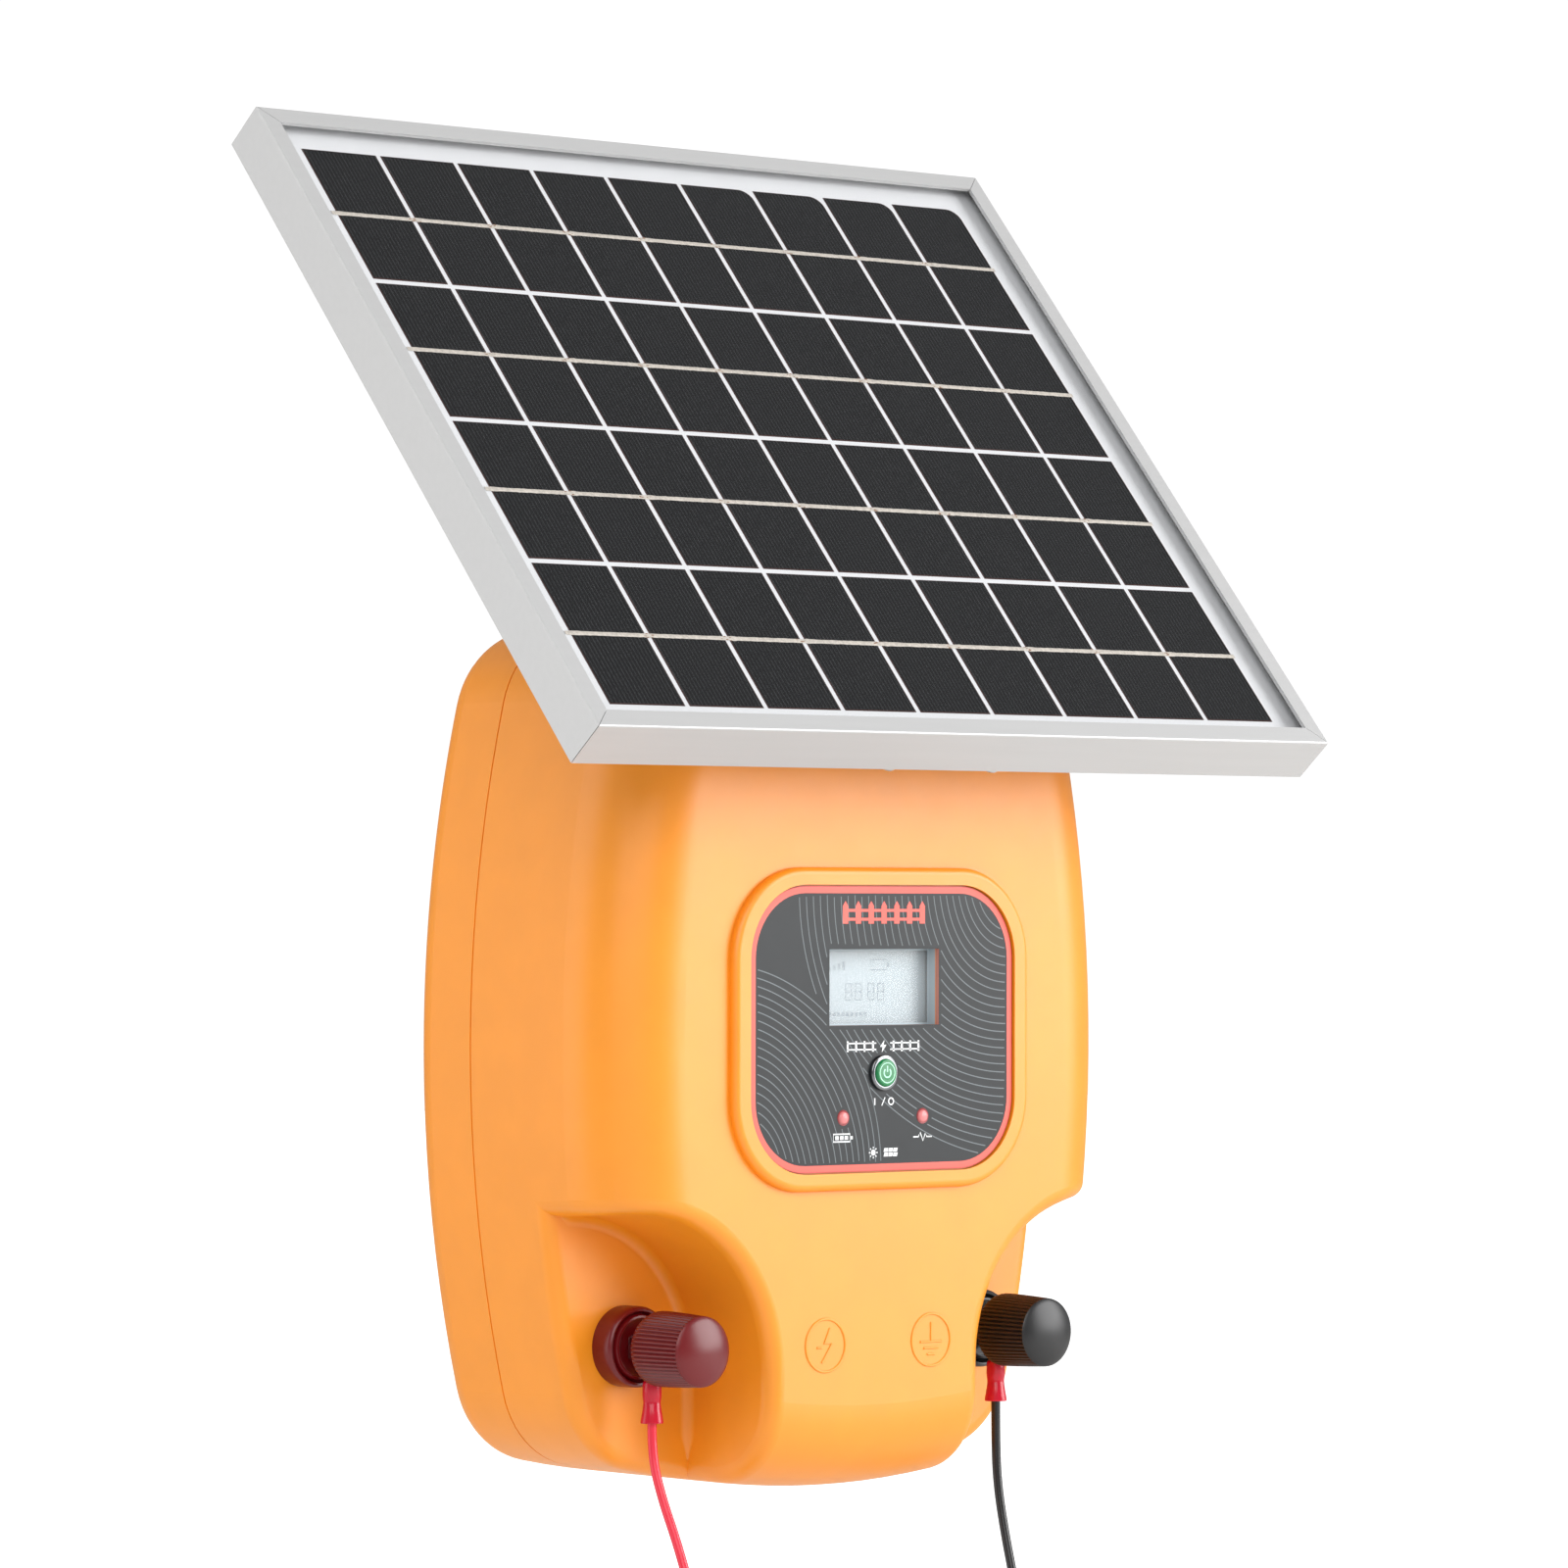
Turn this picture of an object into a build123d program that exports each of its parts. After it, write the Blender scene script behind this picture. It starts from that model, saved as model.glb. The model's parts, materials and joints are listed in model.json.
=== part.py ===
from build123d import *
import os
from math import cos, pi, radians, sin, tan

# Solar electric fence energizer: a two-shell housing that hangs on a wall bracket, with a tilting
# solar panel on top, two output terminals in corner recesses, and one lead on each terminal.
# Millimetres. X is right as seen from the front, Y is depth with the front at -Y, Z is up.
# Origin: on the wall plane, at the centre of the bracket's four-hole pattern.

os.makedirs("parts", exist_ok=True)

# Housing
BACK_Y = -35.0
FRONT_Y = -137.0
SEAM_Y = -65.0
HALF_WIDTH = 108.2
TOP_Z = 134.0
BOTTOM_Z = -146.0
SIDE_RADIUS = 450.0
SIDE_MIDDLE_Z = -5.0
CROWN_RADIUS = 340.0
CORNER_RADIUS = 32.0
FRONT_EDGE = 27.0
BACK_EDGE = 10.0
BROW_RADIUS = 45.0
WALL = 3.0
GASKET = 0.6

# Terminal recesses in the two lower front corners
RECESS_Y = -99.0
RECESS_X = 96.0
RECESS_Z = -107.0
RECESS_RADIUS = 49.0
RECESS_DRAFT = 3.0
RECESS_RIM = 5.5
RECESS_SIDE_EDGE = 5.0
RECESS_SINK = 14.0

# Front label, its raised bezel, and what shows through it
LABEL_Y = -139.0
LABEL_SIZE = (112.4, 90.2)
LABEL_CORNER = 23.0
BEZEL_SIZE = (126.0, 102.0)
BEZEL_CORNER = 29.0
BEZEL_HEIGHT = 3.0
SCREEN = (0.6, 13.1, 47.0, 24.2)
BUTTON_Z = -14.0
BUTTON_RADIUS = 4.4
BUTTON_TRAVEL = 0.8
LED_PLACES = ((-17.0, -28.0), (17.0, -28.0))
LED_RADIUS = 2.0
BOARD_Y = -126.0
BOARD_SCREWS = ((-46.0, 30.0), (46.0, 30.0), (-46.0, -34.0), (46.0, -34.0))

# Electronics in the rear shell
MAIN_BOARD_Y = -53.6
MAIN_BOARD_SCREWS = ((-68.0, 27.0), (68.0, 27.0), (-62.0, 103.0), (62.0, 103.0))
COVER_SCREWS = ((-82.0, 96.0), (82.0, 96.0), (-97.0, 5.0), (97.0, 5.0), (-66.0, -124.0), (66.0, -124.0))
BATTERY_SIZE = (80.0, 68.0, 98.0)
BATTERY_BACK_Y = -38.6
BATTERY_BOTTOM_Z = -134.0
TRANSFORMER_AT = (-34.0, -77.0, 70.0)

# Terminals
TERMINAL_X = 73.8
TERMINAL_Z = -99.3
COLLAR_RADIUS = 12.75
COLLAR_FRONT_Y = -108.0
RING_Y = -112.5
CLAMP_Y = -113.55
KNOB_Y = -115.05
KNOB_LENGTH = 22.0
KNOB_BASE_RADIUS = 11.85
KNOB_TIP_RADIUS = 10.75
KNOB_DOME = 2.5
KNOB_BORE_DEPTH = 19.5
STUD_RADIUS = 3.0

# Leads
LEAD_DIAMETER = 3.0
TURN_PITCH = 3.1
INNER_TURN = 16.0
OUTER_TURN = 19.2
INNER_TURNS = 4
OUTER_TURNS = 3
TAIL_LENGTH = 72.0
SLEEVE_Y = RING_Y - 0.5
SLEEVE_TOP = 12.4
SLEEVE_DROP = 23.5
CLIP_LENGTH = 60.0
CLIP_PIVOT = -25.0
CLIP_BARREL = (7.0, 9.0)

# Each lead leaves its sleeve straight down, leans forward, and ends at the front of its coil.
RED_ROUTE = [(-73.8, -113.0, -122.8), (-73.8, -113.0, -133.0), (-73.9, -117.8, -145.5),
             (-74.1, -125.4, -159.0), (-74.1, -131.2, -172.0), (-74.0, -134.0, -184.0),
             (-74.0, -134.3, -195.0)]
BLACK_ROUTE = [(73.8, -113.0, -122.8), (73.8, -113.0, -136.0), (73.9, -113.8, -150.0),
               (74.1, -117.2, -166.0), (74.1, -121.6, -181.0), (74.0, -123.6, -194.0),
               (74.0, -123.9, -205.0)]

# Solar panel, in its own frame: X across, Y up the slope, Z out of the glass, origin at the middle
# of the front top edge
PANEL_WIDTH = 312.0
PANEL_LENGTH = 261.0
PANEL_THICKNESS = 17.0
PANEL_TILT = 49.65
PANEL_EDGE_Y = -184.4
PANEL_EDGE_Z = 92.3
LIP = 6.5
RAIL_WALL = 1.6
MITRE_GAP = 0.12
GLASS_TOP = -1.2
GLASS_BOTTOM = -4.4
CELL_BOTTOM = -4.7
SHEET_BOTTOM = -5.0
CELL_COLUMNS = 9
CELL_ROWS = 4
CELL_MARGIN = (14.3, 13.0)
CELL_GAP = 1.9
PIVOT_Y = -80.0
PIVOT_Z = 152.0
PIVOT_RADIUS = 4.0
FLANGE_SCREWS = [(x, y) for x in (-22.0, 22.0) for y in (7.0, PANEL_LENGTH - 7.0)]
YOKE_TOP_Z = 135.5
YOKE_SCREWS = [(x, y) for x in (-16.0, 16.0) for y in (-88.0, -72.0)]

# Wall bracket
BRACKET_HALF_WIDTH = 45.0
BRACKET_HALF_HEIGHT = 60.0
FLANGE_HALF_WIDTH = 65.0
SHEET = 2.0
WALL_HOLES = [(x, z) for x in (-55.0, 55.0) for z in (-45.0, 45.0)]
WALL_HOLE_RADIUS = 3.3
HANGER_PLACES = [(x, z) for x in (-30.0, 30.0) for z in (-24.0, 46.0)]
INLET_Z = 112.0
INLET_RADIUS = 6.0


def save(shape, node):
    """Write one sub-part as its own STEP file."""
    export_step(shape, f"parts/{node}.step")


def facing(y):
    """A sketch plane square to Y, seen from the front: local x is X, local y is Z, normal is -Y."""
    return Plane.XZ.offset(-y)


def rod(x, z, radius, y_back, y_front):
    """A round bar along Y."""
    return extrude(facing(y_back) * Pos(x, z) * Circle(radius), amount=y_back - y_front)


def block(x_span, y_span, z_span):
    """An upright box from its three spans."""
    size = [high - low for low, high in (x_span, y_span, z_span)]
    centre = [(high + low) / 2 for low, high in (x_span, y_span, z_span)]
    return Pos(*centre) * Box(*size)


def plate(sketch, y_back, y_front):
    """A sketch in X and Z made solid between two depths."""
    return extrude(facing(y_back) * sketch, amount=y_back - y_front)


def hexagon_nut(x, z, flats, bore, y_back, y_front):
    """A hexagon nut on an axis along Y, with two of its flats level."""
    outline = RegularPolygon(flats / 2, 6, major_radius=False, rotation=30)
    return plate(Pos(x, z) * (outline - Circle(bore)), y_back, y_front)


def tube(points, diameter):
    """A round cord on straight runs joined by tangent arcs as large as the runs allow."""
    nodes = [Vector(*point) for point in points]
    radii = []
    for before, corner, after in zip(nodes, nodes[1:], nodes[2:]):
        turn = radians((corner - before).get_angle(after - corner))
        shorter = min((corner - before).length, (after - corner).length)
        radii.append(0.45 * shorter / tan(turn / 2))
    path = FilletPolyline(*nodes, radius=radii)
    section = Plane(path @ 0, z_dir=path % 0) * Circle(diameter / 2)
    solid = sweep(section, path=path)
    expected = pi * diameter**2 / 4 * path.length
    print("cord", f"length {path.length:.1f}", f"volume ratio {solid.volume / expected:.4f}",
          "radii", [round(radius, 1) for radius in radii])
    return solid


# ---------------------------------------------------------------- housing shells

def housing_outline(inset=0.0):
    """The barrel-shaped front view: two long side arcs, crowned ends and round corners."""
    face = None
    for side in (-1, 1):
        disc = Pos(side * (HALF_WIDTH - SIDE_RADIUS), SIDE_MIDDLE_Z) * Circle(SIDE_RADIUS - inset)
        face = disc if face is None else face & disc
    for side, end in ((1, TOP_Z), (-1, BOTTOM_Z)):
        face = face & (Pos(0, end - side * CROWN_RADIUS) * Circle(CROWN_RADIUS - inset))
    return fillet(face.vertices(), CORNER_RADIUS - inset)


def housing_block(front_y, front_edge, inset):
    """The outline made solid back to front, with rounded back and front edges."""
    solid = plate(housing_outline(inset), BACK_Y - inset, front_y + inset)
    solid = fillet(solid.faces().sort_by(Axis.Y)[-1].edges(), BACK_EDGE - inset)
    return fillet(solid.faces().sort_by(Axis.Y)[0].edges(), front_edge - inset)


def recess_cutter(side, inset):
    """One corner recess, wider towards the front, open to the side and the bottom."""
    base_y = RECESS_Y + RECESS_SINK
    radius = RECESS_RADIUS + inset - RECESS_SINK * tan(radians(RECESS_DRAFT))
    far_x, far_z = -HALF_WIDTH - 33.0, BOTTOM_Z - 34.0
    with BuildSketch(facing(base_y)) as sketch:
        with BuildLine():
            Polyline((-RECESS_X, RECESS_Z + radius), (far_x, RECESS_Z + radius), (far_x, far_z),
                     (-RECESS_X + radius, far_z), (-RECESS_X + radius, RECESS_Z))
            RadiusArc((-RECESS_X, RECESS_Z + radius), (-RECESS_X + radius, RECESS_Z), radius)
        make_face()
    cutter = extrude(sketch.sketch, amount=60, taper=-RECESS_DRAFT)
    return cutter if side < 0 else mirror(cutter, Plane.YZ)


def housing_solid(inset=0.0):
    """The whole housing: a full-depth body less its recesses, over a shallower rear body."""
    body = housing_block(FRONT_Y, FRONT_EDGE, inset)
    axis_y = FRONT_Y + BROW_RADIUS
    axis_z = TOP_Z - BROW_RADIUS
    brow = block((-150, 150), (axis_y - 90, axis_y), (axis_z, axis_z + 90))
    brow -= Pos(0, axis_y, axis_z) * Rot(0, 90, 0) * Cylinder(BROW_RADIUS - inset, 300)
    body -= brow
    cutters = [recess_cutter(side, inset) for side in (-1, 1)]
    cut = body - cutters[0] - cutters[1]
    rim = [edge for edge in new_edges(body, *cutters, combined=cut)
           if edge.center().Y < RECESS_Y + RECESS_SINK - 1]
    return fillet(rim, RECESS_RIM - inset) + housing_block(RECESS_Y, RECESS_SIDE_EDGE, inset)


def make_label_bezel():
    """The raised pad and its rounded ring around the label."""
    ring = RectangleRounded(*BEZEL_SIZE, BEZEL_CORNER)
    well = RectangleRounded(LABEL_SIZE[0] + 0.8, LABEL_SIZE[1] + 0.8, LABEL_CORNER + 0.4)
    raised = plate(ring, FRONT_Y, FRONT_Y - BEZEL_HEIGHT)
    raised = fillet(raised.faces().sort_by(Axis.Y)[0].edges(), 2.2)
    return raised - plate(well, LABEL_Y + 1.0, FRONT_Y - BEZEL_HEIGHT - 1)


def label_openings():
    """The window, button and lamp openings of the label, as one sketch."""
    x, z, width, height = SCREEN
    openings = Pos(x, z) * Rectangle(width, height)
    for lamp_x, lamp_z in LED_PLACES:
        openings += Pos(lamp_x, lamp_z) * Circle(LED_RADIUS + 0.1)
    return openings + Pos(0, BUTTON_Z) * Circle(5.0)


def make_covers():
    """The front and rear shells with their bosses, mounts and openings."""
    outside = housing_solid()
    cavity = housing_solid(WALL)
    shell = outside - cavity
    half_gap = GASKET / 2
    front_zone = block((-150, 150), (FRONT_Y - 20, SEAM_Y - half_gap), (-180, 180))
    rear_zone = block((-150, 150), (SEAM_Y + half_gap, 0), (-180, 180))
    front = shell & front_zone
    rear = shell & rear_zone

    bosses = Sketch() + [Pos(x, z) * Circle(4.6) for x, z in COVER_SCREWS]
    front += plate(bosses, SEAM_Y - half_gap, FRONT_Y) & cavity
    standoffs = Sketch() + [Pos(x, z) * Circle(3.5) for x, z in BOARD_SCREWS]
    front += plate(standoffs, BOARD_Y, FRONT_Y + WALL)
    front += make_label_bezel()
    front += block((-36, 36), (-94, SEAM_Y - half_gap), (TOP_Z - 6, YOKE_TOP_Z)) - cavity
    for x, z in COVER_SCREWS:
        front -= rod(x, z, 1.9, SEAM_Y, SEAM_Y - 26)
    for x, z in BOARD_SCREWS:
        front -= rod(x, z, 1.3, BOARD_Y, BOARD_Y - 7)
    front -= plate(label_openings(), FRONT_Y + WALL + 1, LABEL_Y - 3)
    for x in (-TERMINAL_X, TERMINAL_X):
        front -= rod(x, TERMINAL_Z, 6.1, RECESS_Y + WALL + 1, RECESS_Y - 1)
    for x, y in YOKE_SCREWS:
        front -= Pos(x, y, YOKE_TOP_Z - 5) * Cylinder(1.9, 10.1)

    pillars = Sketch() + [Pos(x, z) * Circle(6.4) for x, z in COVER_SCREWS]
    rear += plate(pillars, BACK_Y, SEAM_Y + half_gap) & outside
    standoffs = Sketch() + [Pos(x, z) * Circle(3.5) for x, z in MAIN_BOARD_SCREWS]
    rear += plate(standoffs, BACK_Y - WALL, MAIN_BOARD_Y + 1.6)
    hangers = Sketch() + [Pos(x, z) * Circle(5.0) for x, z in HANGER_PLACES]
    rear += plate(hangers, BACK_Y, BACK_Y - 9)
    for x, z in COVER_SCREWS:
        rear -= rod(x, z, 4.6, 0, BACK_Y - 16)
        rear -= rod(x, z, 2.3, 0, SEAM_Y)
    for x, z in MAIN_BOARD_SCREWS:
        rear -= rod(x, z, 1.3, BACK_Y - WALL - 1, MAIN_BOARD_Y)
    for x, z in HANGER_PLACES:
        rear -= rod(x, z, 2.6, 0, BACK_Y - 7)
    rear -= rod(0, INLET_Z, INLET_RADIUS + 0.1, 0, BACK_Y - WALL - 1)
    return front, rear


def make_housing():
    """The two shells, the gasket in their seam, and the screws that join them."""
    front, rear = make_covers()
    save(front, "front_cover")
    save(rear, "rear_cover")
    ring = housing_outline(0.6) - housing_outline(2.6)
    save(plate(ring, SEAM_Y + GASKET / 2, SEAM_Y - GASKET / 2), "housing_gasket")
    screws = []
    for x, z in COVER_SCREWS:
        screws.append(rod(x, z, 4.0, BACK_Y - 13, BACK_Y - 16) + rod(x, z, 1.8, BACK_Y - 16, SEAM_Y - 20))
    save(Compound(screws), "cover_screws")


# ---------------------------------------------------------------- label, display, button, lamps

def make_front_panel():
    """The label, and what is behind it: window, display, board, lamps, button and its switch."""
    label = RectangleRounded(*LABEL_SIZE, LABEL_CORNER) - label_openings()
    save(plate(label, LABEL_Y + 1.0, LABEL_Y), "label_overlay")

    x, z, width, height = SCREEN
    inner_wall = FRONT_Y + WALL
    save(plate(Pos(x, z) * Rectangle(width + 7, height + 7), inner_wall + 1.2, inner_wall), "lcd_window")
    module = Pos(x, z) * RectangleRounded(width + 9, height + 10, 1.5)
    save(plate(module, BOARD_Y, inner_wall + 1.3), "lcd_module")

    board = RectangleRounded(104, 78, 2)
    for x, z in BOARD_SCREWS:
        board -= Pos(x, z) * Circle(1.6)
    save(plate(board, BOARD_Y + 1.6, BOARD_Y), "display_board")

    lamps = []
    for x, z in LED_PLACES:
        lamp = rod(x, z, LED_RADIUS, BOARD_Y - 6, LABEL_Y - 0.6)
        lamp = fillet(lamp.faces().sort_by(Axis.Y)[0].edges(), 0.9)
        lamps.append(lamp + rod(x, z, 2.4, BOARD_Y, BOARD_Y - 6))
    save(Compound(lamps), "status_leds")

    ring = rod(0, BUTTON_Z, 5.7, LABEL_Y, LABEL_Y - 1.2) + rod(0, BUTTON_Z, 4.95, inner_wall, LABEL_Y)
    ring = fillet(ring.faces().sort_by(Axis.Y)[0].edges(), 0.5)
    save(ring - rod(0, BUTTON_Z, BUTTON_RADIUS + 0.08, 0, -150), "button_bezel")
    cap = rod(0, BUTTON_Z, BUTTON_RADIUS, inner_wall + 0.1, LABEL_Y - 2)
    cap = fillet(cap.faces().sort_by(Axis.Y)[0].edges(), 0.8)
    cap += rod(0, BUTTON_Z, 5.6, inner_wall + 1.3, inner_wall + 0.1)
    cap += rod(0, BUTTON_Z, 1.5, inner_wall + 3.9, inner_wall + 1.3)
    save(cap, "power_button")
    switch = block((-3, 3), (BOARD_Y - 2.7, BOARD_Y), (BUTTON_Z - 3, BUTTON_Z + 3))
    save(switch + rod(0, BUTTON_Z, 1.5, BOARD_Y - 2.7, BOARD_Y - 3), "power_switch")


# ---------------------------------------------------------------- electronics

def board_screw(x, z, y_face, toward):
    """One screw with its head on a board's face and its shank going the other way."""
    top = y_face + 2 * toward
    end = y_face - 8.2 * toward
    head = rod(x, z, 2.7, max(y_face, top), min(y_face, top))
    return head + rod(x, z, 1.25, max(y_face, end), min(y_face, end))


def make_electronics():
    """Main board and its big parts, battery, strap, and the internal wiring."""
    board = Pos(0, 65) * RectangleRounded(146, 88, 2)
    for x, z in MAIN_BOARD_SCREWS:
        board -= Pos(x, z) * Circle(1.6)
    save(plate(board, MAIN_BOARD_Y + 1.6, MAIN_BOARD_Y), "main_board")
    screws = [board_screw(x, z, BOARD_Y + 1.6, 1) for x, z in BOARD_SCREWS]
    screws += [board_screw(x, z, MAIN_BOARD_Y, -1) for x, z in MAIN_BOARD_SCREWS]
    save(Compound(screws), "board_screws")

    core = Box(56, 28, 47)
    for side in (-1, 1):
        core -= Pos(side * 14.0, 0, 0) * Box(9.4, 30, 28)
    save(Pos(*TRANSFORMER_AT) * core, "transformer_core")
    winding = fillet(Box(36.6, 44, 27.6).edges().filter_by(Axis.Z), 5) - Box(19.0, 28.4, 30)
    save(Pos(*TRANSFORMER_AT) * winding, "transformer_winding")

    capacitor = fillet(Cylinder(17, 48).edges(), 1.5)
    save(Pos(38, -75, 66) * capacitor, "storage_capacitor")
    heatsink = block((59, 72), (-82, MAIN_BOARD_Y), (45, 90))
    for fin in range(3):
        heatsink -= block((62, 80), (-79 + 8 * fin, -74 + 8 * fin), (40, 95))
    save(heatsink, "thyristor_heatsink")

    width, depth, height = BATTERY_SIZE
    front_y = BATTERY_BACK_Y - depth
    top_z = BATTERY_BOTTOM_Z + height
    case = block((-width / 2, width / 2), (front_y, BATTERY_BACK_Y), (BATTERY_BOTTOM_Z, top_z))
    battery = fillet(case.edges().filter_by(Axis.Z), 2)
    for x in (-25, 25):
        battery += block((x - 3, x + 3), (-60, -59.2), (top_z - 1, top_z + 7))
    save(battery, "battery")
    band = block((-width / 2 - 1.6, width / 2 + 1.6), (front_y - 1.6, BACK_Y - WALL), (-76, -60))
    band -= block((-width / 2 - 0.4, width / 2 + 0.4), (front_y - 0.4, 0), (-80, -50))
    for side in (-1, 1):
        foot_x = sorted((side * (width / 2 + 1), side * (width / 2 + 14)))
        band += block(foot_x, (BACK_Y - WALL - 1.2, BACK_Y - WALL), (-76, -60))
    save(band, "battery_strap")

    flat = FilletPolyline((-124.4, 18), (-114, 18), (-106, 6), (-66, 6), (-60, 26), (-53.6, 26), radius=3)
    save(extrude(Plane.YZ * trace(flat, 0.8), amount=12, both=True), "display_ribbon")
    wires = []
    for side in (-1, 1):
        route = [(25, -59.6, top_z + 7), (25, -59.6, -14), (26.5, -62, 0), (27, -67, 12),
                 (26, -66, 22), (25, -60.5, 26), (25, -53.6, 26)]
        wires.append(tube([(side * x, y, z) for x, y, z in route], 1.8))
    save(Compound(wires), "battery_wires")
    ending = [(70, -78, -66), (74, -69, -82), (75, -67, -93), (TERMINAL_X, -74, TERMINAL_Z),
              (TERMINAL_X, -85, TERMINAL_Z)]
    red = [(-42, -99, 66), (-42, -106, 66), (-50, -112, 50), (-60, -106, 18),
           (-64, -94, -20), (-66, -86, -46)]
    red += [(-x, y, z) for x, y, z in ending]
    black = [(-26, -99, 66), (-26, -107, 66), (-12, -114, 46), (18, -113, 24), (48, -106, 2),
             (60, -96, -24), (66, -86, -46)]
    save(Compound([tube(red, 2.0), tube(black + ending, 2.0)]), "output_wires")


# ---------------------------------------------------------------- output terminals

def make_terminals():
    """The two binding posts: collar, stud, nuts, clamp washer and knob."""
    studs = []
    nuts = []
    for side, colour in ((-1, "red"), (1, "black")):
        x, z = side * TERMINAL_X, TERMINAL_Z
        collar = rod(x, z, COLLAR_RADIUS, RECESS_Y, COLLAR_FRONT_Y)
        collar = fillet(collar.faces().sort_by(Axis.Y)[0].edges(), 1.2)
        collar += rod(x, z, 6.0, RECESS_Y + WALL, RECESS_Y)
        save(collar - rod(x, z, STUD_RADIUS + 0.1, 0, -150), f"{colour}_collar")
        studs.append(rod(x, z, STUD_RADIUS, -85, KNOB_Y - 16))
        nuts.append(hexagon_nut(x, z, 11, STUD_RADIUS + 0.05, RECESS_Y + WALL + 5, RECESS_Y + WALL))
        nuts.append(hexagon_nut(x, z, 11, STUD_RADIUS + 0.05, COLLAR_FRONT_Y, RING_Y))
        washer = rod(x, z, 8.0, CLAMP_Y, CLAMP_Y - 1.4)
        save(washer - rod(x, z, STUD_RADIUS + 0.08, 0, -150), f"{colour}_clamp_washer")
        save(make_knob(x, z), f"{colour}_knob")
    save(Compound(studs), "terminal_studs")
    save(Compound(nuts), "terminal_nuts")


def make_knob(x, z):
    """A slightly tapered round knob with a domed end and a blind bore for the stud."""
    with BuildSketch(Plane.XZ) as profile:
        with BuildLine():
            Polyline((0, KNOB_LENGTH + KNOB_DOME), (0, 0), (KNOB_BASE_RADIUS, 0),
                     (KNOB_TIP_RADIUS, KNOB_LENGTH))
            dome = (KNOB_TIP_RADIUS**2 + KNOB_DOME**2) / (2 * KNOB_DOME)
            RadiusArc((KNOB_TIP_RADIUS, KNOB_LENGTH), (0, KNOB_LENGTH + KNOB_DOME), -dome)
        make_face()
    knob = revolve(profile.sketch, Axis.Z)
    knob -= Cylinder(STUD_RADIUS + 0.07, KNOB_BORE_DEPTH, align=(Align.CENTER, Align.CENTER, Align.MIN))
    return Plane((x, KNOB_Y, z), x_dir=(1, 0, 0), z_dir=(0, -1, 0)) * knob


# ---------------------------------------------------------------- leads and clips


def make_ring_terminal(x):
    """A crimped ring terminal: an eye on the stud and a barrel below it."""
    eye = Pos(x, TERMINAL_Z) * Circle(5.5) + Pos(x, TERMINAL_Z - 6) * Rectangle(5, 7)
    ring = plate(eye - Pos(x, TERMINAL_Z) * Circle(3.2), RING_Y, RING_Y - 1)
    barrel = Pos(x, SLEEVE_Y, TERMINAL_Z - 14.5) * Cylinder(2.0, 13)
    return ring + barrel


def make_sleeve(x):
    """The vinyl sleeve over a ring terminal's barrel, narrowed to the lead at its lower end."""
    z = TERMINAL_Z - SLEEVE_DROP
    length = SLEEVE_DROP - SLEEVE_TOP - 2
    body = Pos(x, SLEEVE_Y, z + 2 + length / 2) * Cylinder(3.15, length)
    body += Pos(x, SLEEVE_Y, z + 1) * Cone(1.9, 3.15, 2)
    return body - Pos(x, SLEEVE_Y, z + 2 + length / 2) * Cylinder(2.03, length)


def make_lead(colour, route):
    """One lead: the free tube, its tied coil, and the tail down to the clip. Returns the tail's end."""
    x, y, z = route[-1]
    centre_y = y + INNER_TURN
    coil_end = x + INNER_TURNS * TURN_PITCH
    half = LEAD_DIAMETER / 2 + 0.1
    save(tube(route, LEAD_DIAMETER), f"{colour}_lead")

    middle = (x + coil_end) / 2
    width = coil_end - x + 2 * half
    coil = Cylinder(OUTER_TURN + half, width) - Cylinder(INNER_TURN - half, width + 1)
    coil = fillet(coil.edges(), 1.3)
    save(Pos(middle, centre_y, z) * Rot(0, 90, 0) * coil, f"{colour}_lead_coil")

    bundle_y = centre_y - (INNER_TURN + OUTER_TURN) / 2
    bundle = OUTER_TURN - INNER_TURN + 2 * half
    tie = Box(width + 2.6, bundle + 3.2, 4) - Box(width + 0.3, bundle + 0.8, 5)

    tail_x = coil_end - OUTER_TURNS * TURN_PITCH
    tail_y = centre_y - OUTER_TURN
    tail = [(tail_x, tail_y, z), (tail_x, tail_y - 0.9, z - TAIL_LENGTH / 3),
            (tail_x + 0.6, tail_y + 0.6, z - 2 * TAIL_LENGTH / 3),
            (tail_x + 0.6, tail_y + 0.6, z - TAIL_LENGTH)]
    save(tube(tail, LEAD_DIAMETER), f"{colour}_lead_tail")
    return Pos(middle, bundle_y, z) * tie, tail[-1]


def clip_half(side, half_width, pin_hole):
    """One half of a crocodile clip, a folded channel: handle above, ears at the pin, jaw below."""
    wall = [(9.6, 0), (6.5, 0), (3.5, -18), (-3, -21), (-3, -29), (0.2, -33), (0.2, -CLIP_LENGTH),
            (1.6, -CLIP_LENGTH), (5.4, -30), (5.9, -22)]
    hollow = [(8.4, 1), (-6, 1), (-6, -CLIP_LENGTH - 1), (0.4, -CLIP_LENGTH - 1), (4.3, -30), (4.8, -22)]
    outside = Plane.YZ * Polygon(*[(side * y, z) for y, z in wall], align=None)
    inside = Plane.YZ * Polygon(*[(side * y, z) for y, z in hollow], align=None)
    half = extrude(outside, amount=half_width, both=True)
    half -= extrude(inside, amount=half_width - 0.9, both=True)
    return half - Pos(0, 0, CLIP_PIVOT) * Rot(0, 90, 0) * Cylinder(pin_hole, 20)


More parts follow.
